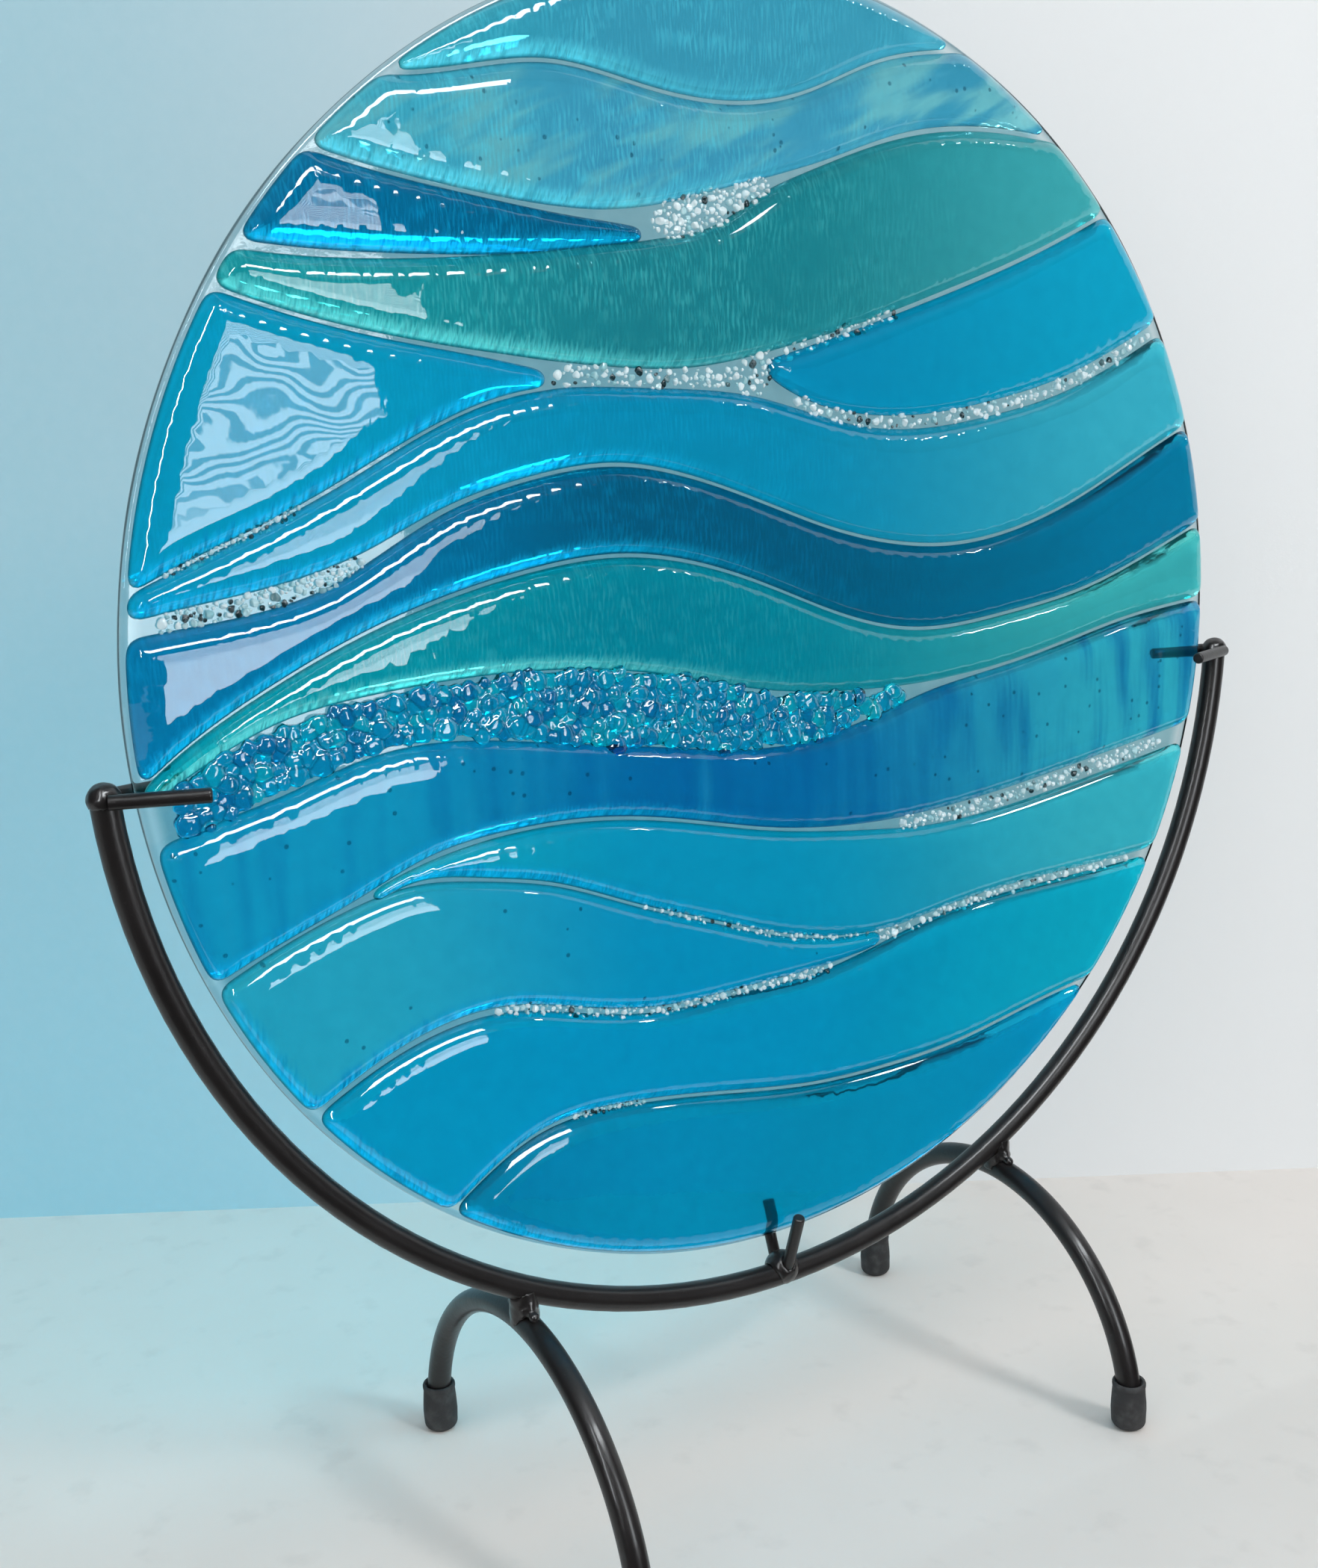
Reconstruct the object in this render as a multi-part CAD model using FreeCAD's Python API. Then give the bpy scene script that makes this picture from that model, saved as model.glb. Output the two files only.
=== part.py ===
import FreeCAD, Part
import math
import os
from FreeCAD import Vector

# Fused glass wave disc that stands on edge in a cradle of welded round rod.
# Frame: +Z up, the glass faces -Y, +X to the viewer's right. The origin lies on the floor,
# midway between the four feet. Lengths in millimetres, angles in degrees.

# Glass disc
disc_radius = 150.0
base_thickness = 3.2
strip_thickness = 3.8
strip_rim_inset = 2.0
seam_gap = 2.4
base_edge_round = 1.2
strip_edge_round = 0.9

# Rod stand
rod_diameter = 6.0
arch_radius = 52.0
arch_spread = 145.4
weld_neck = 2.5
weld_neck_radius = 3.5
rim_clearance = 2.5
ring_set_forward = 2.4
ring_end_drop_angle = 4.2

# Clips that hold the edge of the glass
prong_diameter = 3.0
prong_reach = 18.0
prong_end_round = 0.5
clip_spread_angle = 20.0
glass_clearance = 0.3
glass_seat_height = 10.5
bead_margin = 1.4
end_bead_margin = 0.5

# Rubber foot caps
cap_height = 12.5
cap_floor = 1.5
cap_wall = 1.7
cap_lip_wall = 1.2
cap_edge_round = 1.8

# Crushed glass
chip_radius = 1.3
chip_pitch = 4.6
chunk_radius = 2.5
chunk_pitch = 5.6
grain_clearance = 0.15
grain_rest_angle = 24.0

# Shares of a size
end_round_share = 0.3
grain_shrink_share = 0.35
golden_share = 0.618
slope_room_share = 0.84

# Seams and edges of the strips, as shares of the disc radius from the disc's centre, left to right.
# A seam is the line midway between two strips. An edge belongs to one strip and carries no gap.
cap_seam_shares = [(-0.64, 0.80), (-0.50, 0.809), (-0.336, 0.833), (-0.19, 0.811), (-0.03, 0.798),
                   (0.105, 0.824), (0.24, 0.877), (0.36, 0.90), (0.50, 0.91)]
crest_seam_shares = [(-0.76, 0.72), (-0.609, 0.679), (-0.448, 0.651), (-0.30, 0.637), (-0.188, 0.645),
                     (-0.048, 0.677), (0.116, 0.718), (0.28, 0.77), (0.42, 0.79), (0.547, 0.788),
                     (0.70, 0.77)]
taper_top_shares = [(-0.76, 0.712), (-0.609, 0.671), (-0.448, 0.643), (-0.30, 0.622), (-0.20, 0.612)]
taper_bottom_shares = [(-0.87, 0.60), (-0.70, 0.58), (-0.539, 0.577), (-0.399, 0.581), (-0.294, 0.592),
                       (-0.20, 0.601)]
teal_top_shares = [(-0.90, 0.582), (-0.70, 0.56), (-0.539, 0.562), (-0.33, 0.578), (-0.19, 0.594),
                   (-0.07, 0.618), (0.02, 0.668), (0.116, 0.708), (0.28, 0.76), (0.42, 0.78),
                   (0.547, 0.778), (0.70, 0.76)]
teal_seam_shares = [(-0.92, 0.56), (-0.749, 0.497), (-0.595, 0.462), (-0.427, 0.437), (-0.259, 0.42),
                    (-0.118, 0.418), (0, 0.436), (0.175, 0.476), (0.35, 0.528), (0.56, 0.598),
                    (0.729, 0.668), (0.84, 0.72)]
sail_top_shares = [(-0.92, 0.552), (-0.749, 0.489), (-0.595, 0.454), (-0.45, 0.429), (-0.37, 0.411)]
sail_seam_shares = [(-1.05, 0.10), (-0.889, 0.186), (-0.784, 0.228), (-0.679, 0.277), (-0.574, 0.33),
                    (-0.469, 0.372), (-0.37, 0.391)]
turquoise_top_shares = [(-1.05, 0.108), (-0.889, 0.178), (-0.784, 0.22), (-0.679, 0.268),
                        (-0.574, 0.322), (-0.469, 0.365), (-0.36, 0.386), (-0.20, 0.385), (0, 0.368),
                        (0.07, 0.35), (0.21, 0.318), (0.35, 0.315), (0.49, 0.333), (0.63, 0.363),
                        (0.77, 0.415), (0.95, 0.50)]
right_top_shares = [(0.02, 0.425), (0.175, 0.466), (0.35, 0.518), (0.56, 0.588), (0.729, 0.658),
                    (0.84, 0.71)]
right_bottom_shares = [(0.02, 0.412), (0.10, 0.372), (0.21, 0.35), (0.35, 0.35), (0.49, 0.37),
                       (0.63, 0.402), (0.77, 0.455), (0.95, 0.54)]
turquoise_bottom_shares = [(-1.05, 0.10), (-0.889, 0.134), (-0.784, 0.151), (-0.651, 0.19),
                           (-0.539, 0.239), (-0.399, 0.277), (-0.259, 0.291), (-0.125, 0.267),
                           (0, 0.225), (0.14, 0.175), (0.28, 0.144), (0.385, 0.137), (0.526, 0.154),
                           (0.666, 0.196), (0.806, 0.256), (1.0, 0.335)]
navy_top_shares = [(-1.05, 0.075), (-0.889, 0.095), (-0.80, 0.107), (-0.714, 0.13), (-0.62, 0.178),
                   (-0.539, 0.22), (-0.399, 0.261), (-0.259, 0.275), (-0.125, 0.251), (0, 0.209),
                   (0.14, 0.159), (0.28, 0.128), (0.385, 0.121), (0.526, 0.138), (0.666, 0.18),
                   (0.806, 0.24), (1.0, 0.32)]
navy_seam_shares = [(-1.05, -0.17), (-0.903, -0.043), (-0.819, 0.003), (-0.679, 0.066),
                    (-0.539, 0.111), (-0.406, 0.139), (-0.259, 0.151), (-0.118, 0.129), (0, 0.09),
                    (0.14, 0.034), (0.303, -0.006), (0.499, 0.003), (0.696, 0.034), (0.892, 0.097),
                    (1.05, 0.155)]
frit_top_shares = [(-1.05, -0.16), (-0.90, -0.075), (-0.80, -0.032), (-0.66, -0.008), (-0.51, 0.001),
                   (-0.37, -0.002), (-0.19, -0.027), (0, -0.071), (0.107, -0.085), (0.303, -0.092),
                   (0.513, -0.075), (0.654, -0.049), (0.794, -0.021), (0.906, -0.007), (1.05, 0.005)]
frit_bottom_shares = [(-1.05, -0.215), (-0.90, -0.168), (-0.80, -0.143), (-0.70, -0.113),
                      (-0.60, -0.098), (-0.50, -0.103), (-0.40, -0.118), (-0.20, -0.15),
                      (0, -0.176), (0.10, -0.172), (0.22, -0.148), (0.36, -0.114), (0.513, -0.091),
                      (0.654, -0.065), (0.794, -0.037), (0.906, -0.023), (1.05, -0.011)]
streaky_bottom_shares = [(-1.0, -0.42), (-0.819, -0.335), (-0.70, -0.29), (-0.595, -0.249),
                         (-0.469, -0.23), (-0.329, -0.23), (-0.188, -0.251), (0, -0.294),
                         (0.161, -0.314), (0.315, -0.314), (0.49, -0.30), (0.70, -0.272),
                         (0.911, -0.241), (1.05, -0.22)]
wedge_top_shares = [(-0.68, -0.294), (-0.595, -0.266), (-0.469, -0.246), (-0.329, -0.246),
                    (-0.188, -0.267), (0, -0.31), (0.161, -0.334), (0.315, -0.35), (0.49, -0.344),
                    (0.70, -0.318), (0.911, -0.286), (1.05, -0.265)]
wedge_bottom_shares = [(-0.68, -0.304), (-0.595, -0.281), (-0.511, -0.293), (-0.399, -0.318),
                       (-0.259, -0.374), (-0.118, -0.426), (0, -0.468), (0.126, -0.498),
                       (0.203, -0.505), (0.35, -0.491), (0.526, -0.474), (0.736, -0.468),
                       (0.98, -0.45)]
lens_top_shares = [(-1.0, -0.436), (-0.819, -0.351), (-0.72, -0.316), (-0.62, -0.297),
                   (-0.511, -0.309), (-0.399, -0.334), (-0.259, -0.39), (-0.118, -0.442),
                   (0, -0.484), (0.126, -0.512), (0.22, -0.516)]
lens_bottom_shares = [(-0.90, -0.655), (-0.721, -0.548), (-0.595, -0.502), (-0.49, -0.493),
                      (-0.364, -0.52), (-0.224, -0.548), (-0.048, -0.549), (0.077, -0.546),
                      (0.22, -0.529)]
bright_top_shares = [(-0.90, -0.675), (-0.721, -0.568), (-0.595, -0.522), (-0.49, -0.513),
                     (-0.364, -0.54), (-0.224, -0.568), (-0.048, -0.569), (0.077, -0.566),
                     (0.20, -0.545), (0.35, -0.513), (0.526, -0.498), (0.736, -0.492), (0.98, -0.476)]
seabed_seam_shares = [(-0.70, -0.87), (-0.539, -0.757), (-0.434, -0.706), (-0.294, -0.699),
                      (-0.118, -0.722), (0.07, -0.75), (0.21, -0.755), (0.385, -0.746),
                      (0.596, -0.709), (0.78, -0.69)]
outer_top_shares = [(-0.64, 1.05), (0.50, 1.05)]
outer_bottom_shares = [(-0.70, -1.05), (0.78, -1.05)]

# Stretches of the seams that hold crushed glass, as shares of the disc radius from its centre
crest_frit_share = (-0.17, 0.02)
teal_frit_share = (-0.35, 0.0)
teal_right_frit_share = (0.05, 0.27)
right_frit_share = (0.07, 0.85)
sail_chip_share = (-0.93, -0.72)
left_chip_share = (-0.94, -0.66)
chunk_share = (-0.93, 0.30)
wedge_frit_share = (0.27, 0.90)
lens_top_frit_share = (-0.24, 0.17)
bright_frit_share = (0.25, 0.82)
lens_bottom_frit_share = (-0.50, 0.12)
seabed_chip_share = (-0.38, -0.24)

# Values worked out from the sizes above
glass_thickness = base_thickness + strip_thickness
glass_back = glass_thickness / 2
base_front = glass_back - base_thickness
glass_front = -glass_thickness / 2
rod_radius = rod_diameter / 2
prong_radius = prong_diameter / 2
ring_radius = disc_radius + rim_clearance + rod_radius
arch_x = arch_spread / 2
arch_top = cap_floor + arch_radius
ring_over_arch = math.sqrt(ring_radius ** 2 - arch_x ** 2)
ring_centre = Vector(0, -ring_set_forward, arch_top + rod_diameter + weld_neck + ring_over_arch)
disc_centre = ring_centre + Vector(0, 0, glass_seat_height + disc_radius - ring_radius)


def rod_section(centre, along, radius):
    """Round face that a rod is turned or drawn from."""
    return Part.Face(Part.Wire(Part.makeCircle(radius, centre, along)))


def ring_point(angle):
    """Point of the ring's axis at an angle from +X, counted upwards."""
    turn = math.radians(angle)
    return ring_centre + Vector(math.cos(turn), 0, math.sin(turn)) * ring_radius


def cradle_ring():
    """Half ring of rod, from its left end through the bottom to its right end."""
    start = ring_point(180 + ring_end_drop_angle)
    tangent = (start - ring_centre).cross(Vector(0, 1, 0))
    section = rod_section(start, tangent, rod_radius)
    return section.revolve(ring_centre, Vector(0, -1, 0), 180 - 2 * ring_end_drop_angle)


def arch_leg(x):
    """Half-circle arch of rod that stands front to back at x."""
    foot = Vector(x, -arch_radius, cap_floor)
    section = rod_section(foot, Vector(0, 0, 1), rod_radius)
    return section.revolve(Vector(x, 0, cap_floor), Vector(-1, 0, 0), 180)


def leg_weld(x, ring, arch):
    """Neck of weld metal between an arch's top and the ring above it."""
    foot = Vector(x, -ring_set_forward, arch_top)
    neck = Part.makeCylinder(weld_neck_radius, rod_diameter + weld_neck, foot)
    return neck.cut(ring).cut(arch).Solids[0]


def prong_offset(depth, edge_depth):
    """Half the width between the two prongs' axes, at a depth from the ring's axis."""
    spread = math.radians(clip_spread_angle)
    seat = glass_thickness / 2 + (prong_radius + glass_clearance) / math.cos(spread)
    return seat + (depth - edge_depth) * math.tan(spread)


def prong_start(edge_depth):
    """Depth at which the prongs leave the weld, clear of each other."""
    spread = math.tan(math.radians(clip_spread_angle))
    crossing = (prong_radius + glass_clearance - prong_offset(0, edge_depth)) / spread
    return max(0, crossing)


def prong(root, inward, side, edge_depth, ring):
    """Thin rod of a clip: side is -1 in front of the glass and 1 behind it."""
    start_depth = prong_start(edge_depth)
    start_side = Vector(0, side * prong_offset(start_depth, edge_depth), 0)
    end_side = Vector(0, side * prong_offset(prong_reach, edge_depth), 0)
    start = root + inward * start_depth + start_side
    end = root + inward * prong_reach + end_side
    rod = Part.makeCylinder(prong_radius, start.distanceToPoint(end), start, end - start)
    rod = rod.makeFillet(prong_end_round, [tip_edge(rod, end)])
    return rod.cut(ring).Solids[0]


def tip_edge(rod, end):
    """Round edge of a straight rod at its end."""
    circles = [edge for edge in rod.Edges if edge.Closed]
    return min(circles, key=lambda edge: edge.CenterOfMass.distanceToPoint(end))


def side_edge_depth(root):
    """Depth from the ring's end to the edge of the glass, at the top of the prong."""
    rise = disc_centre.z - (root.z + prong_radius)
    return abs(root.x) - math.sqrt(disc_radius ** 2 - rise ** 2)


def clip(name, root, inward, edge_depth, bead_radius, bead_depth, ring):
    """Front prong, back prong and weld bead of one clip."""
    front = prong(root, inward, -1, edge_depth, ring)
    back = prong(root, inward, 1, edge_depth, ring)
    bead = Part.makeSphere(bead_radius, root + inward * bead_depth)
    bead = bead.cut(ring).cut(front).cut(back)
    bead = max(bead.Solids, key=lambda solid: solid.Volume)
    return {name + "_clip_front_prong": front, name + "_clip_back_prong": back,
            name + "_clip_weld": bead}


def foot_cap(x, side, arch):
    """Rubber cap on the foot of an arch: side is -1 at the front and 1 at the back."""
    lean = arch_radius - math.sqrt(arch_radius ** 2 - cap_height ** 2)
    centre = Vector(x, side * (arch_radius - lean / 2), 0)
    belly = rod_radius + cap_wall
    lip = rod_radius + cap_lip_wall
    outline = Part.makePolygon([Vector(0, 0, 0), Vector(belly, 0, 0), Vector(belly, 0, cap_height / 2),
                                Vector(lip, 0, cap_height), Vector(0, 0, cap_height), Vector(0, 0, 0)])
    body = Part.Face(outline).revolve(Vector(0, 0, 0), Vector(0, 0, 1), 360)
    low_edge = [edge for edge in body.Edges if edge.Closed and edge.BoundBox.ZMax < cap_floor]
    body = body.makeFillet(cap_edge_round, low_edge)
    body.translate(centre)
    return body.cut(arch).Solids[0]


def base_disc():
    """Clear round sheet with softened edges, about the disc's centre."""
    disc = Part.makeCylinder(disc_radius, base_thickness, Vector(0, base_front, 0), Vector(0, 1, 0))
    rims = [edge for edge in disc.Edges if edge.Closed]
    return disc.makeFillet(base_edge_round, rims)


def edge_points(shares, shift):
    """Points of a seam or edge in the glass plane, raised by shift."""
    return [Vector(x * disc_radius, base_front, z * disc_radius + shift) for x, z in shares]


def smooth_edge(points):
    """Smooth curve through the points, or a line when there are two."""
    curve = Part.BSplineCurve()
    curve.interpolate(points)
    return curve.toShape()


def strip(top_shares, bottom_shares, top_shift, bottom_shift):
    """Strip of coloured sheet between two wave lines, trimmed to the round of the disc."""
    top = edge_points(top_shares, top_shift)
    bottom = edge_points(bottom_shares, bottom_shift)
    outline = Part.Wire([smooth_edge(top), Part.makeLine(top[-1], bottom[-1]),
                         smooth_edge(bottom), Part.makeLine(bottom[0], top[0])])
    sheet = Part.Face(outline).extrude(Vector(0, -strip_thickness, 0))
    blank = Part.makeCylinder(disc_radius - strip_rim_inset, strip_thickness,
                              Vector(0, glass_front, 0), Vector(0, 1, 0))
    piece = max(blank.common(sheet).Solids, key=lambda solid: solid.Volume)
    return softened(piece)


def softened(piece):
    """The piece with its front wave edges rounded, as fired glass is, within its narrowest end."""
    middle = (base_front + glass_front) / 2
    front_edges = [edge for edge in piece.Edges if edge.BoundBox.YMax < middle]
    wave_edges = [edge for edge in front_edges if isinstance(edge.Curve, Part.BSplineCurve)]
    narrowest = min(edge.Length for edge in front_edges)
    return piece.makeFillet(min(strip_edge_round, narrowest * end_round_share), wave_edges)


def wave_strips():
    """The coloured strips, from the top of the disc to its bottom."""
    half = seam_gap / 2
    return {
        "sky_cap": strip(outer_top_shares, cap_seam_shares, 0, half),
        "streaky_crest": strip(cap_seam_shares, crest_seam_shares, -half, half),
        "deep_blue_taper": strip(taper_top_shares, taper_bottom_shares, 0, 0),
        "upper_teal_wave": strip(teal_top_shares, teal_seam_shares, 0, half),
        "left_blue_sail": strip(sail_top_shares, sail_seam_shares, 0, half),
        "right_blue_wave": strip(right_top_shares, right_bottom_shares, 0, 0),
        "long_turquoise_wave": strip(turquoise_top_shares, turquoise_bottom_shares, 0, 0),
        "navy_wave": strip(navy_top_shares, navy_seam_shares, 0, half),
        "lower_teal_wave": strip(navy_seam_shares, frit_top_shares, -half, 0),
        "streaky_blue_wave": strip(frit_bottom_shares, streaky_bottom_shares, 0, 0),
        "pale_blue_wedge": strip(wedge_top_shares, wedge_bottom_shares, 0, 0),
        "lens_blue_wave": strip(lens_top_shares, lens_bottom_shares, 0, 0),
        "bright_blue_wave": strip(bright_top_shares, seabed_seam_shares, 0, half),
        "seabed_cap": strip(seabed_seam_shares, outer_bottom_shares, -half, 0),
    }


def seam_line(shares, shift):
    """Close-set points of a seam or edge, left to right."""
    return smooth_edge(edge_points(shares, shift)).discretize(Distance=chip_pitch / 2)


def height_at(line, x):
    """Height of a seam line at x."""
    for start, end in zip(line, line[1:]):
        if start.x <= x <= end.x:
            return start.z + (end.z - start.z) * (x - start.x) / (end.x - start.x)
    raise ValueError("the seam line doesn't reach x")


def grain(x, z, radius):
    """Fired grain of crushed glass, a ball with a flat seat on the base sheet."""
    lift = radius * math.sin(math.radians(grain_rest_angle))
    centre = Vector(x, base_front - lift, z)
    return Part.makeSphere(radius, centre, Vector(0, -1, 0), -grain_rest_angle, 90, 360)


def crushed_band(below, above, span_share, pitch, radius):
    """Grains laid in columns between two seam lines, as many to a column as fit there."""
    first, last = [share * disc_radius for share in span_share]
    columns = int((last - first) / pitch) + 1
    grains = []
    for column in range(columns):
        x = first + column * pitch
        low = height_at(below, x)
        room = height_at(above, x) - low
        rows = max(1, int(room / pitch))
        for row in range(rows):
            shrink = 1 - grain_shrink_share * ((column * golden_share + row / rows) % 1)
            half_row = room / rows / 2 * slope_room_share - grain_clearance
            size = min(radius, half_row) * shrink
            grains.append(grain(x, low + room * (row + 1 / 2) / rows, size))
    return grains


def crushed_glass():
    """Every group of crushed glass, by name."""
    half = seam_gap / 2
    crest = seam_line(crest_seam_shares, half)
    teal_top = seam_line(teal_top_shares, 0)
    teal = seam_line(teal_seam_shares, half)
    sail = seam_line(sail_seam_shares, half)
    turquoise_top = seam_line(turquoise_top_shares, 0)
    turquoise_bottom = seam_line(turquoise_bottom_shares, 0)
    right_top = seam_line(right_top_shares, 0)
    right_bottom = seam_line(right_bottom_shares, 0)
    navy_top = seam_line(navy_top_shares, 0)
    frit_top = seam_line(frit_top_shares, 0)
    frit_bottom = seam_line(frit_bottom_shares, 0)
    streaky = seam_line(streaky_bottom_shares, 0)
    wedge_top = seam_line(wedge_top_shares, 0)
    wedge_bottom = seam_line(wedge_bottom_shares, 0)
    lens_top = seam_line(lens_top_shares, 0)
    lens_bottom = seam_line(lens_bottom_shares, 0)
    bright = seam_line(bright_top_shares, 0)
    seabed_top = seam_line(seabed_seam_shares, -half)
    seabed = seam_line(seabed_seam_shares, half)
    chip = (chip_pitch, chip_radius)
    chunk = (chunk_pitch, chunk_radius)
    groups = {
        "crest_clear_frit": crushed_band(teal_top, crest, crest_frit_share, *chip),
        "teal_seam_clear_frit": crushed_band(turquoise_top, teal, teal_frit_share, *chip)
        + crushed_band(right_top, teal, teal_right_frit_share, *chip),
        "right_seam_clear_frit": crushed_band(turquoise_top, right_bottom, right_frit_share, *chip),
        "sail_seam_dark_chips": crushed_band(turquoise_top, sail, sail_chip_share, *chip),
        "left_wedge_dark_chips": crushed_band(navy_top, turquoise_bottom, left_chip_share, *chip),
        "blue_chunk_frit": crushed_band(frit_bottom, frit_top, chunk_share, *chunk),
        "wedge_seam_clear_frit": crushed_band(wedge_top, streaky, wedge_frit_share, *chip),
        "lens_top_clear_frit": crushed_band(lens_top, wedge_bottom, lens_top_frit_share, *chip)
        + crushed_band(bright, wedge_bottom, bright_frit_share, *chip),
        "lens_bottom_clear_frit": crushed_band(bright, lens_bottom, lens_bottom_frit_share, *chip),
        "seabed_dark_chips": crushed_band(seabed_top, seabed, seabed_chip_share, *chip),
    }
    return {name: Part.makeCompound(grains) for name, grains in groups.items()}


def main():
    """Builds every piece and writes one file for each."""
    os.makedirs("parts", exist_ok=True)
    ring = cradle_ring()
    pieces = {"cradle_ring": ring}
    arches = {"left": arch_leg(-arch_x), "right": arch_leg(arch_x)}
    for name, arch in arches.items():
        x = arch.BoundBox.Center.x
        pieces[name + "_arch_leg"] = arch
        pieces[name + "_leg_weld"] = leg_weld(x, ring, arch)
        pieces[name + "_front_foot_cap"] = foot_cap(x, -1, arch)
        pieces[name + "_back_foot_cap"] = foot_cap(x, 1, arch)
    left = ring_point(180 + ring_end_drop_angle)
    right = ring_point(-ring_end_drop_angle)
    bottom = ring_point(-90)
    end_bead = rod_radius + end_bead_margin
    root_bead = rod_radius + bead_margin
    side_depth = side_edge_depth(left)
    pieces.update(clip("left", left, Vector(1, 0, 0), side_depth, end_bead, 0, ring))
    pieces.update(clip("right", right, Vector(-1, 0, 0), side_depth, end_bead, 0, ring))
    pieces.update(clip("bottom", bottom, Vector(0, 0, 1), glass_seat_height, root_bead, prong_radius, ring))
    glass = {"clear_base_disc": base_disc()}
    glass.update(wave_strips())
    glass.update(crushed_glass())
    for name, solid in glass.items():
        solid.translate(disc_centre)
        pieces[name] = solid
    for name, solid in pieces.items():
        print(name, len(solid.Solids), solid.isValid(), round(solid.Volume, 1))
        solid.exportStep("parts/" + name + ".step")


main()
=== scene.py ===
# %% [markdown]
# A fused glass disc of wave-shaped strips stands in a black painted rod stand.
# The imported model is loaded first. It holds every piece at its real size and place, so all
# that follows is dressing: nothing that is made here may move or resize it.
# The box of the whole model is kept from the start, to compare with the dressed one.

import math

import bmesh
import bpy
import numpy as np
from mathutils import Matrix, Vector, kdtree, noise
from mathutils.geometry import delaunay_2d_cdt


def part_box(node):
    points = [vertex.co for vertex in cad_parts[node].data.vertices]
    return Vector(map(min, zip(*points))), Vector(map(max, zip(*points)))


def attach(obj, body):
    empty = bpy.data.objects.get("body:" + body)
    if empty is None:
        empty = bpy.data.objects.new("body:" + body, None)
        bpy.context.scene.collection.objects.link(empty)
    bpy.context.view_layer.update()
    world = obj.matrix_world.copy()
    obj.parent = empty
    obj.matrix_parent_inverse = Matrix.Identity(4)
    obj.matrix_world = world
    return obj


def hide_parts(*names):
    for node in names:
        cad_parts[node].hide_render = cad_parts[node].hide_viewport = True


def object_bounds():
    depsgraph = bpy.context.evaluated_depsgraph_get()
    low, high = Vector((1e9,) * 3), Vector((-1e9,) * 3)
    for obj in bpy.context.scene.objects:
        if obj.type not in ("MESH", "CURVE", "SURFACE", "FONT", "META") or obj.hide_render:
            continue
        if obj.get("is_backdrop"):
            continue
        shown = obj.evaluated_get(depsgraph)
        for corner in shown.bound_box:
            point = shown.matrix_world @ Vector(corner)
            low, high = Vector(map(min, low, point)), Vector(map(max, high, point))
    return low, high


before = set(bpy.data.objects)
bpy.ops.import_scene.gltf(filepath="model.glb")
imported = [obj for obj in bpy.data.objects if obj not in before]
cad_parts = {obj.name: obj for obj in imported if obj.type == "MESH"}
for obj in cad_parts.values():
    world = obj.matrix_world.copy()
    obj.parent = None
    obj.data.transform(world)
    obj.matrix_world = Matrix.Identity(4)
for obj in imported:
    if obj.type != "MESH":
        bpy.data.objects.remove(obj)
model_low, model_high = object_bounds()
MM = 0.001
print(len(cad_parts), "nodes,", [round(s / MM, 1) for s in model_high - model_low], "mm")

# %% [markdown]
# The camera stands close, to the left of the disc and a little above its middle, and it is
# tipped a little to one side. Its place, its aim and its lens are real measures, and the
# turn about its own axis gives the tip.

# %% Camera
CAMERA_PLACE = Vector((-0.2316, -0.3316, 0.2501))
CAMERA_AIM = Vector((-0.0309, -0.0024, 0.1744))
CAMERA_TIP = math.radians(-2.2)
LENS_MM = 39.27

outlook = (CAMERA_AIM - CAMERA_PLACE).normalized()
level_right = outlook.cross(Vector((0, 0, 1))).normalized()
level_up = level_right.cross(outlook)
camera_right = level_right * math.cos(CAMERA_TIP) + level_up * math.sin(CAMERA_TIP)
camera_up = level_up * math.cos(CAMERA_TIP) - level_right * math.sin(CAMERA_TIP)

camera = bpy.data.objects.new("camera", bpy.data.cameras.new("camera"))
bpy.context.scene.collection.objects.link(camera)
camera.data.lens = LENS_MM
camera.data.clip_start = 0.01
turn = Matrix((camera_right, camera_up, -outlook)).transposed()
camera.matrix_world = Matrix.Translation(CAMERA_PLACE) @ turn.to_4x4()
bpy.context.scene.camera = camera
print("camera", round((CAMERA_AIM - CAMERA_PLACE).length / MM), "mm from its aim")

# %% [markdown]
# A finish is a small tree of nodes. Written node by node it is hard to read, so a Shade
# stands for one socket and takes part in sums: 1 - mask or mask * 0.5 adds the Math nodes.
# A Finish makes any other node from its type, its settings and its sockets.

# %% Shader sums


class Shade:
    """One socket of a finish."""

    def __init__(self, finish, socket):
        self.finish = finish
        self.socket = socket

    def maths(self, operation, first, second):
        return self.finish.node("Math", {"operation": operation}, {0: first, 1: second})

    def __add__(self, other):
        return self.maths("ADD", self, other)

    def __sub__(self, other):
        return self.maths("SUBTRACT", self, other)

    def __rsub__(self, other):
        return self.maths("SUBTRACT", other, self)

    def __mul__(self, other):
        return self.maths("MULTIPLY", self, other)

    __radd__ = __add__
    __rmul__ = __mul__


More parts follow.
